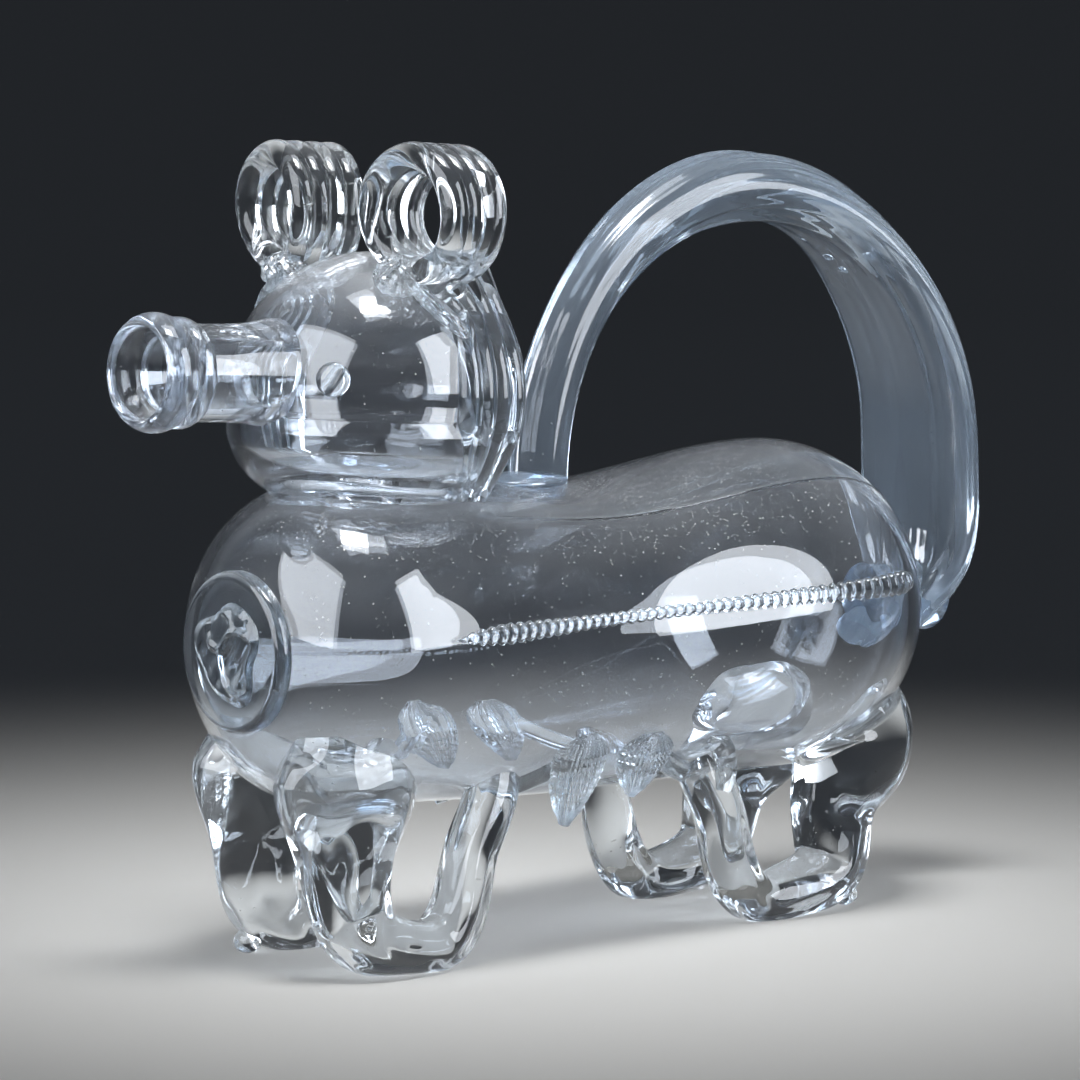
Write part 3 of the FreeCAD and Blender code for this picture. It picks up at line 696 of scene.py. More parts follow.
# %% Ear drape
DRAPE_X, DRAPE_TIP_Z, DRAPE_PROUD = 8.0, 105.0, 2.3
DRAPE_START = (1.5, EAR_CENTRE[1] + 1.5, EAR_CENTRE[2] - EAR_CURL_RADIUS)
DRAPE_SINK, DRAPE_BACK = 0.9, 1.4
DRAPE_STEPS = 14
DRAPE_TURN = {"right": math.radians(22.0), "left": 0.0}


def cheek_depth(z):
    """Radius of the head's outer side at a height."""
    if z > CHEEK_Z:
        return CHEEK_RADIUS * math.sqrt(max(0.0, 1 - ((z - CHEEK_Z) / (CROWN_Z - CHEEK_Z)) ** 2))
    share = (CHEEK_Z - z) / (CHEEK_Z - HEAD_BASE_Z)
    return CHEEK_RADIUS - (CHEEK_RADIUS - HEAD_BASE_RADIUS - CHIN_BULGE) * share ** 3


def forward_on_head(points, turn):
    """Points of the upright head, turned forward about its axis."""
    x = points[..., 0] * math.cos(turn) - points[..., 1] * math.sin(turn)
    y = points[..., 0] * math.sin(turn) + points[..., 1] * math.cos(turn)
    return np.stack([x, y, points[..., 2]], axis=-1)


def drape_rings(turn):
    """The ribbed section drawn down the cheek to a narrow tip, its back sunk into the head."""
    points = [DRAPE_START]
    sizes = [0.8]
    for z, size in ((DRAPE_START[2] - 8, 0.8), (CHEEK_Z + 9, 0.9), (CHEEK_Z - 5, 0.9), (DRAPE_TIP_Z, 0.62)):
        points.append((DRAPE_X, cheek_depth(z) + DRAPE_PROUD - EAR_RIDGE_RADIUS * DRAPE_SINK, z))
        sizes.append(size)
    path = cubic_path(points, DRAPE_STEPS)
    scale = eased_sizes(np.array(sizes)[:, None], DRAPE_STEPS)[:, 0]
    level, out = directions(path, BACK)
    outward = np.where((out @ ACROSS)[:, None] < 0, -out, out)
    rings = []
    for i, place in enumerate(path):
        radius = EAR_RIDGE_RADIUS * scale[i]
        section = np.array(ridge_section(radius, EAR_PITCH * scale[i]))
        section[:, 1] = np.where(section[:, 1] < 0, -DRAPE_BACK * radius, section[:, 1])
        rings.append(place + np.outer(section[:, 0], level[i]) + np.outer(section[:, 1], outward[i]))
    return set_head(forward_on_head(np.array(rings), turn))


# %% Crumpled feet of the ears and pinched tops of the drapes
EAR_FOOT_CENTRE = np.array((-9.5, 20.0, 153.0))
EAR_FOOT_HALF = (5.8, 5.4, 4.6)
DRAPE_PAD_CENTRE = np.array((-3.0, 25.4, 146.5))
DRAPE_PAD_HALF = (3.2, 2.4, 6.5)
DRAPE_PAD_LEAN = np.array((-0.7, -0.8, 0.0))
CRUMPLE_PHASE = {"right": 0.4, "left": 2.1}


def crumpled(half, phase):
    """Rings of a lump of glass that was pressed on and left creased, about its own centre."""
    def creases(turn, rise):
        """Width and height of the lump, with three sets of creases."""
        crease = 0.09 * np.abs(np.sin(3 * turn + phase + 2 * rise))
        crease += 0.07 * np.abs(np.sin(5 * turn - 3 * rise + phase))
        crease += 0.05 * np.sin(9 * turn + 6 * rise)
        return 0.9 + crease, 0.95 + 0.5 * crease

    return lump(np.zeros(3), half, 72, 40, swell=creases)


def drape_pad_rings(phase, turn):
    """The pinched top of the drape: it lies on the dome and slants back as it comes down."""
    rings = crumpled(DRAPE_PAD_HALF, phase)
    rings = DRAPE_PAD_CENTRE + rings + rings[..., 2:] * DRAPE_PAD_LEAN
    return set_head(forward_on_head(rings, turn))


# %% Both ears
for side in ("right", "left"):
    flip = SIDE[side]
    phase = CRUMPLE_PHASE[side]
    turn = DRAPE_TURN[side]
    foot_rings = set_head(EAR_FOOT_CENTRE + crumpled(EAR_FOOT_HALF, phase))
    ear = solid("ear_glass_" + side, *hoop(flip(ear_rings(0.0))))
    ear_cut = cutter("ear_cut_" + side, *hoop(flip(ear_rings(FUSE_DEPTH))))
    ear_foot = cutter("ear_foot_" + side, *skin(flip(foot_rings)))
    drape = solid("ear_drape_glass_" + side, *skin(flip(drape_rings(turn))))
    drape_pad = cutter("drape_pad_" + side, *skin(flip(drape_pad_rings(phase + 1, turn))))
    carve(ear, [ear_foot], "UNION")
    carve(ear, [head_cut])
    carve(drape, [drape_pad], "UNION")
    carve(drape, [head_cut, ear_cut])
    finish_glass(ear, trailed_glass, "ear_" + side)
    finish_glass(drape, trailed_glass, "ear_drape_" + side)

# %% [markdown]
# ## Eyes
# Each eye is a drop of hot glass set beside the snout and creased with a blade while soft. A dome with a cut
# in it would have hard edges, so the groove is a soft dip in the dome's own rings.

# %% Eyes
EYE_BEARING, EYE_Z, EYE_RADIUS, EYE_HEIGHT = math.radians(36.0), 130.3, 3.8, 1.9
EYE_FOOT = 0.9
CREASE_SLANT = math.radians(-32.0)
CREASE_WIDTH, CREASE_DEPTH = 0.6, 0.9


def eye_rings():
    """A low dome with a soft groove across it."""
    facing = np.array((-math.cos(EYE_BEARING), math.sin(EYE_BEARING), 0))
    level = np.array((-facing[1], facing[0], 0))
    seat = facing * cheek_depth(EYE_Z) + UP * EYE_Z
    slant = UP * math.cos(CREASE_SLANT) + level * math.sin(CREASE_SLANT)
    across = np.cross(facing, slant)
    turn = full_turn(48)
    circle = np.outer(np.cos(turn), slant) + np.outer(np.sin(turn), across)
    rings = [seat - facing * EYE_HEIGHT + circle * EYE_RADIUS * EYE_FOOT]
    for lean in np.linspace(0, math.pi / 2 - 0.03, 18):
        radius = EYE_RADIUS * math.cos(lean)
        crease = CREASE_DEPTH * np.exp(-(radius * np.sin(turn) / CREASE_WIDTH) ** 2)
        lift = EYE_HEIGHT * math.sin(lean) ** 0.6 - crease * math.sin(lean)
        rings.append(seat + np.outer(lift, facing) + circle * radius)
    return set_head(np.array(rings))


for side in ("right", "left"):
    eye = solid("eye_glass_" + side, *skin(SIDE[side](eye_rings())))
    carve(eye, [head_cut])
    finish_glass(eye, trailed_glass, "eye_" + side)

# %% [markdown]
# ## The tail handle
# The tail is one thick gather drawn up from the saddle, arched over and pressed flat behind, then curled
# under to the rump. A bevelled curve has the same section all along, so an oval that changes is drawn along
# the arch instead, with a hollow pressed into the inner face of the strap and the shallow ridges that drawing
# leaves. A pad lies under its front foot and a boss joins the strap to the rump.

# %% Handle stations
HANDLE_X, HANDLE_Z, HANDLE_SPAN, HANDLE_RISE = 52.8, 100.0, 62.7, 71.0
HANDLE_ANGLES = (188, 165, 140, 115, 90, 65, 40, 15, -6)
FOOT_WIDTH, TOP_WIDTH, TOP_THICK = 14.0, 22.0, 16.5
STRAP_WIDTH, STRAP_THICK, STRAP_HOLLOW = 38.0, 13.0, 0.45
FOOT_EASE, STRAP_EASE = 50, 60
CURL_WIDTH, CURL_THICK, CURL_Z = 22.0, 11.0, 62.0
RUMP_END = RUMP_X + RUMP_RADIUS
CURL_ROWS = ((6.0, 4.0, 1.0), (-3.0, 0.0, 0.825), (-13.0, 0.0, 0.65))


def handle_stations(inset):
    """Points along the arch, and at each its half width, half thickness and hollow."""
    points, sizes = [], []
    for angle in HANDLE_ANGLES:
        turn = math.radians(angle)
        points.append((HANDLE_X + HANDLE_SPAN * math.cos(turn), 0, HANDLE_Z + HANDLE_RISE * math.sin(turn)))
        if angle > 90:
            share = min(1.0, (angle - 90) / FOOT_EASE)
            end_width, end_thick, end_hollow = FOOT_WIDTH, FOOT_WIDTH, 0.0
        else:
            share = min(1.0, (90 - angle) / STRAP_EASE)
            end_width, end_thick, end_hollow = STRAP_WIDTH, STRAP_THICK, STRAP_HOLLOW
        width = TOP_WIDTH + (end_width - TOP_WIDTH) * share
        thick = TOP_THICK + (end_thick - TOP_THICK) * share
        sizes.append((width / 2 - inset, thick / 2 - inset, end_hollow * share))
    points.append((HANDLE_X + HANDLE_SPAN, 0, CURL_Z + 16))
    sizes.append(((STRAP_WIDTH + CURL_WIDTH) / 4 - inset, STRAP_THICK / 2 - inset, STRAP_HOLLOW / 2))
    for past_rump, rise, share in CURL_ROWS:
        points.append((RUMP_END + past_rump, 0, CURL_Z + rise))
        sizes.append(((CURL_WIDTH / 2 - inset) * share, (CURL_THICK / 2 - inset) * share, 0.0))
    return points, sizes


def drawn_lines(share, turn, wide, thick):
    """Shallow ridges along the tail, left as the gather was drawn out; they wander slowly round it."""
    drift = 2.5 * share
    line = 0.022 * np.sin(6 * turn + drift)
    line += 0.014 * np.sin(11 * turn - 2 * drift)
    line += 0.008 * np.sin(19 * turn + drift)
    strength = 0.4 + 0.6 * math.sin(math.pi * share)
    return wide * (1 + 0.4 * strength * line), thick * (1 + 2.2 * strength * line)


def handle_rings(inset):
    """Rings of the tail, or of the smaller copy that cuts its root."""
    return drawn(*handle_stations(inset), around=120, shape=drawn_lines)


# %% Saddle pad
PAD_HALF = np.array((11.0, 9.5, 2.6))
PAD_FORWARD = 5.0
pad_centre = np.array((HANDLE_X - HANDLE_SPAN - PAD_FORWARD, 0, WAIST_Z + WAIST_RADIUS))
pad = solid("handle_pad_glass", *skin(lump(pad_centre, PAD_HALF, 64, 26)))
pad_cut = cutter("pad_cut", *skin(lump(pad_centre, PAD_HALF - FUSE_DEPTH, 64, 26)))
carve(pad, [body_cut, head_cut])

# %% Handle, with seeds, the little bubbles that stay in thick glass
HANDLE_SEEDS = ((80.9, 6.0, 158.7), (90.4, 6.0, 155.4), (95.6, 6.0, 152.4))
HANDLE_SEED_HALF = (1.7, 1.1, 1.1)
SEED_REACH = 1.5


def seeded(piece, places, half):
    """Cuts a closed bubble into a piece at each place."""
    seeds = []
    for place in places:
        seeds.append(cutter(piece.name + "_seed", *skin(lump(place, half, 24, 14, reach=SEED_REACH))))
    carve(piece, seeds)


handle = solid("tail_handle_glass", *skin(handle_rings(0.0)))
handle_cut = cutter("handle_cut", *skin(handle_rings(FUSE_DEPTH)))
carve(handle, [body_cut, pad_cut])
seeded(handle, HANDLE_SEEDS, HANDLE_SEED_HALF)

# %% Root of the tail
ROOT_RADIUS, ROOT_Z = 9.0, 71.0
ROOT_FLARE, ROOT_WAIST = 1.5, 0.6
root_start = RUMP_X + RUMP_RADIUS * 0.9
root_end = HANDLE_X + HANDLE_SPAN
root_rows = [(POLE, RUMP_X), (ROOT_RADIUS, RUMP_X)]
for share in np.linspace(0, 1, 14):
    radius = ROOT_RADIUS + ROOT_FLARE * (2 * share - 1) ** 4 - ROOT_WAIST
    root_rows.append((radius, root_start + (root_end - root_start) * share))
root_rows.append((POLE, root_end))
root = solid("tail_root_glass", *skin(turned(root_rows, (0, 0, ROOT_Z), BACK, ACROSS, 96)))
carve(root, [body_cut, handle_cut])
for piece, node in ((handle, "tail_handle"), (pad, "handle_pad"), (root, "tail_root")):
    finish_glass(piece, tail_glass, node)

# %% [markdown]
# ## Legs
# Each leg is a loop: a stout outer limb that swells to a hip on the side of the body, a flattened foot, and a
# slim inner limb drawn back up to the belly. The maker drew it in one go, so it is one oval along ten
# stations, cut flat where it stands. Jacks left lines along it, two heels kept a knob where the gather was
# sheared off, and the right front leg stands a little further back than the left.

# %% Leg loops
ENDS = {"front": -1, "rear": 1}
LEGS = [(end, side) for end in ENDS for side in ("left", "right")]
LEG_MIDDLE_X, LEG_Y, HIP_Y, TRAIL_Y = -6.7, 20.5, 17.5, 15.0
OUTER_REACH, RIGHT_FRONT_TUCK = 74.0, 5.0
INNER_REACH = {"front": 43.0, "rear": 39.5}
INNER_TOP_REACH = 31.0
HIP_END = {"front": (-2.0, 16.0, 13.0), "rear": (-2.0, 17.5, 12.0)}
HIP_MIDDLE = {"front": (-1.0, 27.0), "rear": (7.0, 29.0)}
HIP_END_INSET, HIP_END_DEPTH, HIP_DEPTH, HIP_WIDTH = 1.5, 12.0, 12.5, 18.0
KNEE_Z, SLIM = 24.0, 6.0
SOLE_DEPTH, SOLE_HEIGHT, SOLE_CUT = 9.0, 6.2, 1.0
FOOT_Z = SOLE_HEIGHT - SOLE_CUT


def tool_lines(share, turn, wide, thick):
    """Shallow lines that the jacks leave along a drawn limb."""
    line = 1 + 0.03 * np.sin(4 * turn + 7 * share) + 0.018 * np.sin(7 * turn - 11 * share)
    return wide * line, thick * line


def outer_reach(end, side):
    """How far the stout limb stands from the middle of the four legs."""
    return OUTER_REACH - (RIGHT_FRONT_TUCK if (end, side) == ("front", "right") else 0.0)


def leg_rings(end, side, inset):
    """Rings along the loop; a row is reach, place across, height, half depth and half width."""
    outer = outer_reach(end, side)
    inner = INNER_REACH[end]
    end_reach, end_drop, end_width = HIP_END[end]
    hip_reach, hip_drop = HIP_MIDDLE[end]
    rows = (
        (outer + end_reach, HIP_Y - HIP_END_INSET, WAIST_Z - end_drop, HIP_END_DEPTH, end_width),
        (outer + hip_reach, HIP_Y, WAIST_Z - hip_drop, HIP_DEPTH, HIP_WIDTH),
        (outer, (LEG_Y + HIP_Y) / 2, KNEE_Z, 10.0, 11.0),
        (outer - 3, LEG_Y, FOOT_Z + 5, SOLE_DEPTH, 8.4),
        (outer - 17, LEG_Y, FOOT_Z, SOLE_DEPTH, SOLE_HEIGHT),
        (inner + 7, LEG_Y, FOOT_Z, 7.6, SOLE_HEIGHT),
        (inner, LEG_Y, FOOT_Z + 8, 6.9, SLIM),
        (inner - 3.5, LEG_Y, FOOT_Z + 20, SLIM, SLIM),
        (INNER_TOP_REACH, (TRAIL_Y + LEG_Y) / 2, WAIST_Z - 28, SLIM, SLIM),
        (INNER_TOP_REACH, TRAIL_Y, WAIST_Z - 20, SLIM, SLIM),
    )
    points = [(LEG_MIDDLE_X + ENDS[end] * reach, y, z) for reach, y, z, _, _ in rows]
    sizes = [(depth - inset, width - inset, 0.0) for *_, depth, width in rows]
    return SIDE[side](drawn(points, sizes, around=72, shape=tool_lines))


# %% Heel nubs
NUB_RADIUS, NUB_OUT, NUB_SPREAD = 2.8, 2.2, 1.3
NUBBED = (("front", "right"), ("rear", "left"))


def heel_nub(end, side):
    """The little knob left where the gather was sheared off at the heel."""
    def uneven(turn, rise):
        """Width with four slow bumps round it, and an even height."""
        return 1 + 0.06 * np.sin(4 * turn + 3 * rise), np.ones_like(turn)

    nub_x = LEG_MIDDLE_X + ENDS[end] * (outer_reach(end, side) + NUB_OUT)
    centre = SIDE[side]((nub_x, LEG_Y, NUB_RADIUS))
    half = (NUB_RADIUS, NUB_SPREAD * NUB_RADIUS, NUB_RADIUS)
    return lump(centre, half, 40, 24, reach=math.pi / 2 - 0.03, swell=uneven)


# %% Four legs, cut flat by the ground
FOOT_SEEDS = {"front_left": ((-82.4, -16.0, 8.5), (-83.2, -16.0, 12.8)), "rear_left": ((30.4, -19.0, 8.9),)}
FOOT_SEED_HALF = (0.8, 0.8, 1.2)
GROUND = 300.0
ground_sides = (-GROUND, GROUND)
ground_corners = [(x, y, z) for z in (-GROUND, 0) for y in ground_sides for x in ground_sides]
ground_faces = [(0, 1, 3, 2), (4, 6, 7, 5), (0, 4, 5, 1), (2, 3, 7, 6), (0, 2, 6, 4), (1, 5, 7, 3)]
ground_cut = cutter("ground_cut", ground_corners, ground_faces)
leg_cuts = {}
for end, side in LEGS:
    name = end + "_" + side
    leg = solid("leg_glass_" + name, *skin(leg_rings(end, side, 0.0)))
    leg_cuts[name] = cutter("leg_cut_" + name, *skin(leg_rings(end, side, FUSE_DEPTH)))
    if (end, side) in NUBBED:
        nub = cutter("heel_nub_" + name, *skin(heel_nub(end, side)))
        carve(leg, [nub], "UNION")
    carve(leg, [body_cut, ground_cut])
    seeded(leg, FOOT_SEEDS.get(name, ()), FOOT_SEED_HALF)
    finish_glass(leg, trailed_glass, "leg_" + name)

# %% [markdown]
# ## Belly trails and their leaves
# From each inner limb a trail runs up the side of the belly and ends in a leaf that was pinched flat with
# ridged pincers. The leaf lies on the belly at its top and hangs free below, and its ridges run together at
# the tip. A bump map would leave the edges smooth, so the ridges are in the rings themselves. On the left
# rear trail the maker left a short stub where the thread was cut off.

# %% Trail and leaf
TRAIL_RADIUS, TRAIL_LIFT = 3.4, 0.6
TRAIL_ROWS = ((0.0, 1.0), (0.3, 0.9), (0.6, 0.85), (0.9, 0.9))
LEAF_Y, LEAF_LEAN = 27.5, 6.0
LEAF_WIDTH, LEAF_THICK = 7.6, 2.4
LEAF_REACH = {"front": 13.3, "rear": 6.7}
LEAF_TIP_Z = {"front": 28.5, "rear": 33.5}
LEAF_ROWS = ((-0.3, 0.4, 0.8), (-0.15, 0.8, 1.1), (0.0, 1.0, 1.2),
             (0.45, 0.9, 1.0), (0.8, 0.5, 0.8), (1.0, 0.16, 0.5))
LEAF_RUN = LEAF_ROWS[-1][0] - LEAF_ROWS[0][0]
LEAF_RIDGES, LEAF_TOOTH = 6, 1.1


def belly_height(x, y):
    """How high the barrel's underside lies at a place along its length and width."""
    axis_z, radius = barrel_at(x)
    return axis_z - math.sqrt(radius ** 2 - y ** 2)


def trail_rings(end):
    """The round trail from the inner limb along the belly."""
    leaf_x = LEG_MIDDLE_X + ENDS[end] * LEAF_REACH[end]
    limb_x = LEG_MIDDLE_X + ENDS[end] * INNER_TOP_REACH
    points, sizes = [], []
    for share, size in TRAIL_ROWS:
        x = limb_x + (leaf_x - limb_x) * share
        y = TRAIL_Y + (LEAF_Y - TRAIL_Y) * share
        points.append((x, y, belly_height(x, y) + TRAIL_LIFT))
        sizes.append((TRAIL_RADIUS * size, TRAIL_RADIUS * size, 0.0))
    return drawn(points, sizes, around=32, steps=8)


def leaf_rings(end):
    """The leaf: a row is its share of the drop, and its width and thickness there."""
    leaf_x = LEG_MIDDLE_X + ENDS[end] * LEAF_REACH[end]
    top_z = belly_height(leaf_x, LEAF_Y)
    drop = top_z - LEAF_TIP_Z[end]
    points = [(leaf_x, LEAF_Y - LEAF_LEAN * share, top_z - drop * share) for share, _, _ in LEAF_ROWS]
    sizes = [(LEAF_WIDTH * width, LEAF_THICK * depth, 0.0) for _, width, depth in LEAF_ROWS]

    def ridged(share, turn, wide, thick):
        """Ridges along the leaf and fine teeth across it."""
        tooth = math.sin(share * drop * LEAF_RUN / LEAF_TOOTH * 2 * math.pi)
        ridge = np.abs(np.sin(wide * LEAF_RIDGES * math.pi)) - 0.5
        return wide * (1 + 0.015 * tooth), thick * (1 + 0.6 * ridge + 0.03 * tooth)

    return drawn(points, sizes, side=BACK, around=160, steps=24, shape=ridged)


# %% Four trails, one with its stub
STUB_POINTS = ((19.0, -26.0, 45.5), (24.0, -26.0, 43.4), (26.2, -25.6, 38.0), (26.0, -25.2, 32.3))
STUB_SIZES = ((2.6, 2.6, 0.0), (3.0, 2.8, 0.0), (2.6, 2.6, 0.0), (2.3, 2.3, 0.0))
stub = cutter("trail_stub", *skin(drawn(STUB_POINTS, STUB_SIZES, around=32, shape=tool_lines)))
for end, side in LEGS:
    name = end + "_" + side
    flip = SIDE[side]
    tab = solid("belly_tab_glass_" + name, *skin(flip(trail_rings(end))))
    leaf = cutter("leaf_" + name, *skin(flip(leaf_rings(end))))
    carve(tab, [leaf, stub] if name == "rear_left" else [leaf], "UNION")
    carve(tab, [body_cut, leg_cuts[name]])
    finish_glass(tab, trailed_glass, "belly_tab_" + name)

# %% [markdown]
# ## The notched trail along the flank
# A thread of hot glass was laid along the left flank and run over with a toothed wheel, which left close
# notches. The notches repeat along a path, so Geometry Nodes make them: a curve is resampled finely, its
# radius is swung up and down by the notch count, and a small oval is swept along it.

# %% Geometry nodes for a notched trail
def notched_trail_tree():
    """A node tree that sweeps an oval along a line of points and notches it."""
    tree = bpy.data.node_groups.new("notched_trail", "GeometryNodeTree")
    tree.interface.new_socket("Geometry", in_out="INPUT", socket_type="NodeSocketGeometry")
    for name, kind in (("Notches", "Int"), ("Steps Per Notch", "Int"), ("Notch Depth", "Float"),
                       ("Half Height", "Float"), ("Proud", "Float"), ("Glass", "Material")):
        tree.interface.new_socket(name, in_out="INPUT", socket_type="NodeSocket" + kind)
    tree.interface.new_socket("Geometry", in_out="OUTPUT", socket_type="NodeSocketGeometry")
    start = add_node(tree, "NodeGroupInput")
    count = add_node(tree, "ShaderNodeMath", {
        0: start["Notches"], 1: start["Steps Per Notch"]}, operation="MULTIPLY")[0]
    line = add_node(tree, "GeometryNodeMeshToCurve", {"Mesh": start["Geometry"]})["Curve"]
    fine = add_node(tree, "GeometryNodeResampleCurve", {"Curve": line, "Count": count})["Curve"]
    share = add_node(tree, "GeometryNodeSplineParameter")["Factor"]
    turns = add_node(tree, "ShaderNodeMath", {0: share, 1: start["Notches"]}, operation="MULTIPLY")[0]
    angle = add_node(tree, "ShaderNodeMath", {0: turns, 1: math.pi}, operation="MULTIPLY")[0]
    swing = add_node(tree, "ShaderNodeMath", {0: angle}, operation="SINE")[0]
    lobe = add_node(tree, "ShaderNodeMath", {0: swing}, operation="ABSOLUTE")[0]
    cut = add_node(tree, "ShaderNodeMath", {0: 1.0, 1: lobe}, operation="SUBTRACT")[0]
    notch = add_node(tree, "ShaderNodeMath", {0: cut, 1: start["Notch Depth"]}, operation="MULTIPLY")[0]
    whole = add_node(tree, "ShaderNodeMath", {0: 1.0, 1: notch}, operation="SUBTRACT")[0]
    named = add_node(tree, "GeometryNodeInputNamedAttribute", {"Name": "taper"}, data_type="FLOAT")
    radius = add_node(tree, "ShaderNodeMath", {0: whole, 1: named["Attribute"]}, operation="MULTIPLY")[0]
    circle = add_node(tree, "GeometryNodeCurvePrimitiveCircle", {"Resolution": 20, "Radius": 1.0})["Curve"]
    size = add_node(tree, "ShaderNodeCombineXYZ", {
        "X": start["Proud"], "Y": start["Half Height"], "Z": 1.0})[0]
    oval = add_node(tree, "GeometryNodeTransform", {"Geometry": circle, "Scale": size})[0]
    swept = add_node(tree, "GeometryNodeCurveToMesh", {
        "Curve": fine, "Profile Curve": oval, "Scale": radius, "Fill Caps": True})[0]
    real = add_node(tree, "GeometryNodeRealizeInstances", {"Geometry": swept})[0]
    glassy = add_node(tree, "GeometryNodeSetMaterial", {"Geometry": real, "Material": start["Glass"]})[0]
    add_node(tree, "NodeGroupOutput", {"Geometry": glassy})
    return tree


# %% Line of the flank trail
FLANK_REAR = np.array((76.3, 78.5))
FLANK_FRONT = np.array((-63.7, 74.8))
FLANK_TAPER = ((0.0, 0.9), (0.03, 1.4), (0.25, 1.05), (0.5, 0.75),
               (0.7, 0.8), (0.9, 1.2), (0.96, 0.85), (1.0, 0.1))


def flank_depth(x, z):
    """How far out the barrel's side lies at a place along its length and height."""
    axis_z, radius = barrel_at(x)
    if x > RUMP_X:
        radius = math.sqrt(radius ** 2 - (x - RUMP_X) ** 2)
    return math.sqrt(radius ** 2 - (z - axis_z) ** 2)


shares = np.linspace(0, 1, 80)
path = []
for share in shares:
    x, z = FLANK_REAR + (FLANK_FRONT - FLANK_REAR) * share
    path.append((x * MM, -flank_depth(x, z) * MM, z * MM))
line_mesh = bpy.data.meshes.new("flank_trail_glass")
line_mesh.from_pydata(path, [(i, i + 1) for i in range(len(path) - 1)], [])
taper = line_mesh.attributes.new("taper", "FLOAT", "POINT")
taper.data.foreach_set("value", np.interp(shares, *zip(*FLANK_TAPER)).astype(np.float32))
print("flank line", len(path), "points")

# %% Flank trail
FLANK_SIZES = {"Notches": 50, "Steps Per Notch": 12, "Notch Depth": 0.4,
               "Half Height": 2.1 * MM, "Proud": 1.6 * MM, "Glass": trailed_glass}
trail = bpy.data.objects.new("flank_trail_glass", line_mesh)
bpy.context.scene.collection.objects.link(trail)
notches = trail.modifiers.new("notches", "NODES")
notches.node_group = notched_trail_tree()
for socket in notches.node_group.interface.items_tree:
    if socket.in_out == "INPUT" and socket.name in FLANK_SIZES:
        notches[socket.identifier] = FLANK_SIZES[socket.name]
carve(trail, [])
close_up(trail.data)
carve(trail, [body_cut])
finish_glass(trail, trailed_glass, "flank_trail")

# %% [markdown]
# ## Chest disc and scar
# A disc of glass closed the chest, where the working rod was held. When the rod was cracked off it left a
# rough island in the middle. The disc is turned; the island is a low stack of uneven rings whose height has a
# fold, a crescent and a dip, because a noise texture would not give marks of that shape.

# %% Disc
DISC_RADIUS, DISC_THICK, DISC_RIM, DISC_SINK = 18.0, 2.5, 2.2, 13.0
disc_front = -CHEST_X + DISC_THICK
disc_back = -CHEST_X - DISC_SINK
disc_rows = [(POLE, disc_back), (DISC_RADIUS, disc_back)]
for turn in np.linspace(0, math.pi / 2, 12):
    rim_radius = DISC_RADIUS - DISC_RIM + DISC_RIM * math.cos(turn)
    disc_rows.append((rim_radius, disc_front - DISC_RIM + DISC_RIM * math.sin(turn)))
disc_rows.append((POLE, disc_front))
disc = solid("pontil_disc_glass", *skin(turned(disc_rows, (0, 0, CHEST_Z), -BACK, ACROSS, 128)))
carve(disc, [body_cut])
finish_glass(disc, trailed_glass, "pontil_disc")

# %% Scar
SCAR_RADIUS, SCAR_HEIGHT, SCAR_SHORE = 11.0, 1.4, 0.16


def scar_rings():
    """A low island with an uneven shore, a hollow, a curled fold and a broken crescent."""
    turn = full_turn(96)
    shore = 1 + 0.12 * np.sin(3 * turn + 1) + 0.06 * np.sin(5 * turn)
    rings = []
    for share in np.linspace(0, 1, 34):
        radius = SCAR_RADIUS * (1 - 0.99 * share) * shore
        y = radius * np.cos(turn)
        z = radius * np.sin(turn)
        fold = np.exp(-((np.hypot(y - 2, z - 5) - 4.5) / 0.9) ** 2) * 0.7
        crescent = np.exp(-((np.hypot(y + 5, z + 2) - 7) / 0.6) ** 2) * 0.8
        dip = np.exp(-((y + 1.5) ** 2 + (z + 3) ** 2) / 14) * 0.9
        ripple = 0.15 * np.sin(1.3 * y + 0.9 * z)
        relief = 0.75 * SCAR_HEIGHT + fold + crescent - dip + ripple
        lift = -FUSE_DEPTH + min(1.0, share / SCAR_SHORE) * relief
        rings.append(np.stack([-(disc_front + lift), y, CHEST_Z + z], axis=1))
    return rings


scar = solid("pontil_scar_glass", *skin(scar_rings()))
finish_glass(scar, trailed_glass, "pontil_scar")

# %% [markdown]
# ## Clearing the bench
# The solids that only cut or joined others have done their work. They are removed, because anything left in
# the scene would count as a piece of the object.

# %% Take the cutters away
print("cutters removed", len(cutters))
for piece in cutters:
    mesh = piece.data
    bpy.data.objects.remove(piece)
    bpy.data.meshes.remove(mesh)

# %% [markdown]
# ## Floor
# The floor is a plain pale sheet that curves up far away, as in a photographer's cove, so no horizon shows
# through the glass.

# %% Floor
FLOOR_FLAT, COVE_RADIUS = 3.0, 0.9
FLOOR_COLOUR, FLOOR_ROUGHNESS = "#d8d8d6", 0.7
cove = [(0.001, 0.0), (FLOOR_FLAT, 0.0)]
for turn in np.linspace(0, math.pi / 2, 16)[1:]:
    cove.append((FLOOR_FLAT + COVE_RADIUS * math.sin(turn), COVE_RADIUS * (1 - math.cos(turn))))
floor_rings = turned(cove, (0, 0, 0), UP, BACK, 96)
rows, columns, _ = floor_rings.shape
floor_faces = [tuple(range(columns))] + [face[::-1] for face in walls(rows, columns)]
floor_mesh = bpy.data.meshes.new("floor")
floor_mesh.from_pydata(floor_rings.reshape(-1, 3).tolist(), [], floor_faces)
floor_mesh.polygons.foreach_set("use_smooth", [True] * len(floor_mesh.polygons))
floor = bpy.data.objects.new("floor", floor_mesh)
bpy.context.scene.collection.objects.link(floor)
floor_paint = bpy.data.materials.new("pale_floor")
floor_paint.use_nodes = True
paint = floor_paint.node_tree.nodes["Principled BSDF"]
paint.inputs["Base Color"].default_value = linear(FLOOR_COLOUR)
paint.inputs["Roughness"].default_value = FLOOR_ROUGHNESS
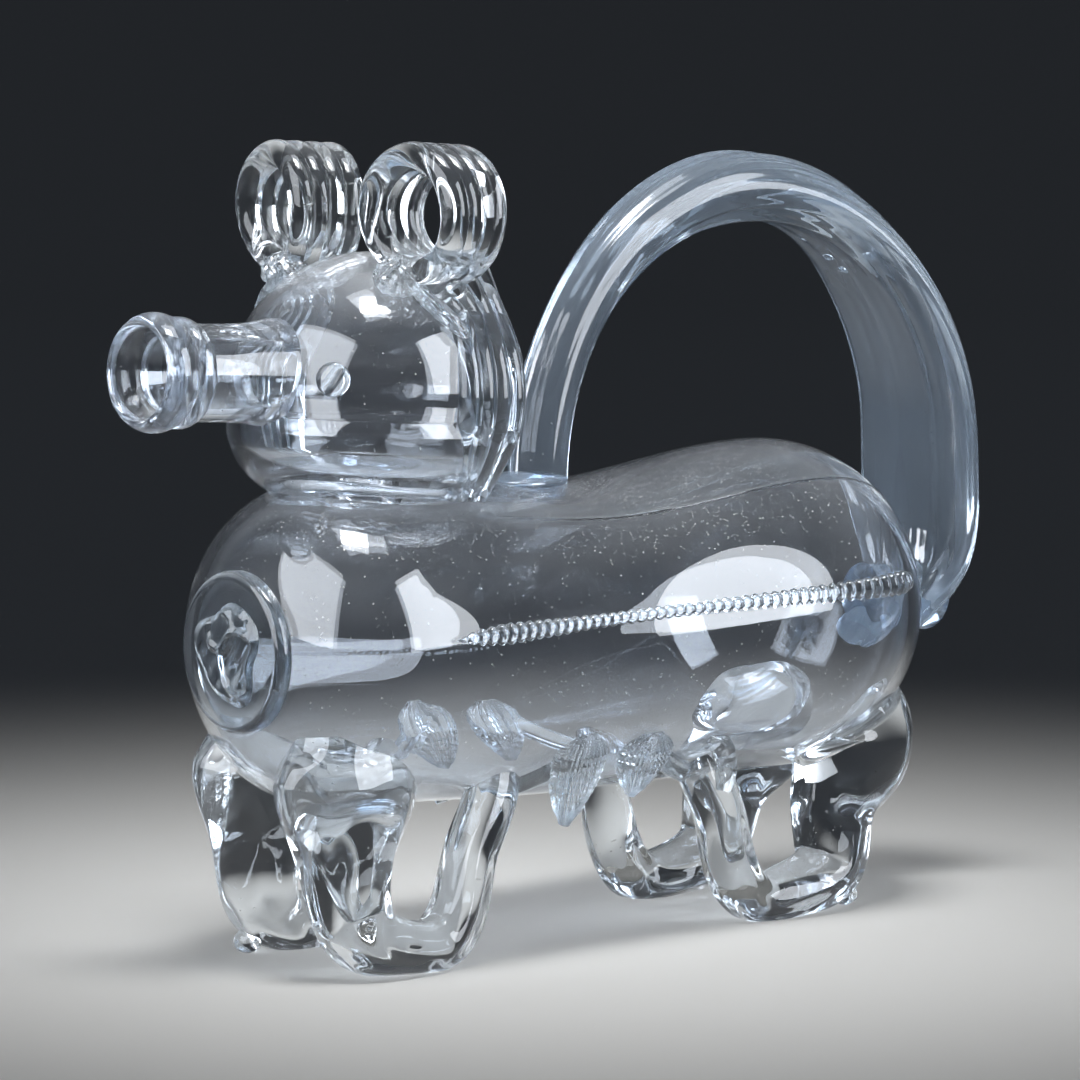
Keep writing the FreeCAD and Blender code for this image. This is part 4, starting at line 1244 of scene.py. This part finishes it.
floor_mesh.materials.append(floor_paint)
print("floor", len(floor_faces), "faces")

# %% [markdown]
# ## Light
# Clear glass is drawn by what it mirrors and bends: tall soft boxes at the sides draw bright edges and window
# shapes, and a dark room behind keeps the walls of the bubble deep. These boxes light the glass alone, by
# light linking, so the floor stays calm. The floor has a narrow pool of its own from above, and a fill
# without shadows, because glass feet would otherwise show black patches where they touch it. One more box,
# at the left and a little behind, reaches only the tail, whose hollow would be flat without it.

# %% Room
ROOM_COLOUR = "#2b2e33"
world = bpy.data.worlds.new("dark_room")
world.use_nodes = True
world.node_tree.nodes["Background"].inputs["Color"].default_value = linear(ROOM_COLOUR)
world.node_tree.nodes["Background"].inputs["Strength"].default_value = 1.0
bpy.context.scene.world = world
print("room", ROOM_COLOUR)

# %% Soft boxes
AIM = Vector((0, 0, 85)) * MM
WINDOW_COLOUR = "#e9eef5"
POOL = {"right": 0.0, "ahead_by": -0.2, "up": 0.9, "width": 0.3, "height": 0.25, "spread": 36}
tail_pieces = bpy.data.collections.new("tail_pieces")
tail_pieces.objects.link(handle)


def soft_box(name, right, ahead_by, up, width, height, power, spread=180, only=None, shadow=True):
    """A rectangular soft light, placed from the camera's own right, ahead and up, in metres."""
    data = bpy.data.lights.new(name, "AREA")
    data.shape = "RECTANGLE"
    data.size = width
    data.size_y = height
    data.energy = power
    data.spread = math.radians(spread)
    data.use_shadow = shadow
    light = bpy.data.objects.new(name, data)
    light.location = AIM + level_right * right + level_ahead * ahead_by + Vector((0, 0, up))
    light.rotation_mode = "QUATERNION"
    light.rotation_quaternion = (AIM - light.location).to_track_quat("-Z", "Y")
    light.visible_camera = False
    if only is not None:
        data.color = linear(WINDOW_COLOUR)[:3]
        light.light_linking.receiver_collection = only
    bpy.context.scene.collection.objects.link(light)
    print(name, power, "W")


soft_box("top_box", power=0.34, **POOL)
soft_box("floor_fill", power=0.16, shadow=False, **POOL)
soft_box("left_box", -0.75, -0.65, 0.48, width=1.0, height=1.02, power=22.5, only=glass_pieces)
soft_box("right_box", 0.9, -0.42, 0.4, width=0.6, height=0.9, power=17.0, only=glass_pieces)
soft_box("over_box", 0.05, -0.1, 0.85, width=0.5, height=0.4, power=4.0, only=glass_pieces)
soft_box("tail_box", -0.95, 0.15, 0.25, width=0.3, height=0.7, power=11.0, only=tail_pieces)

# %% [markdown]
# ## Light paths and finish
# Light crosses many walls of glass before it reaches the eye, so it may bounce often.

# %% Light paths and tone
GLASS_BOUNCES, GLOSS_BOUNCES = 24, 12
scene = bpy.context.scene
scene.cycles.max_bounces = GLASS_BOUNCES
scene.cycles.transmission_bounces = GLASS_BOUNCES
scene.cycles.glossy_bounces = GLOSS_BOUNCES
scene.cycles.use_denoising = True
scene.view_settings.view_transform = "Standard"
print("bounces", GLASS_BOUNCES)
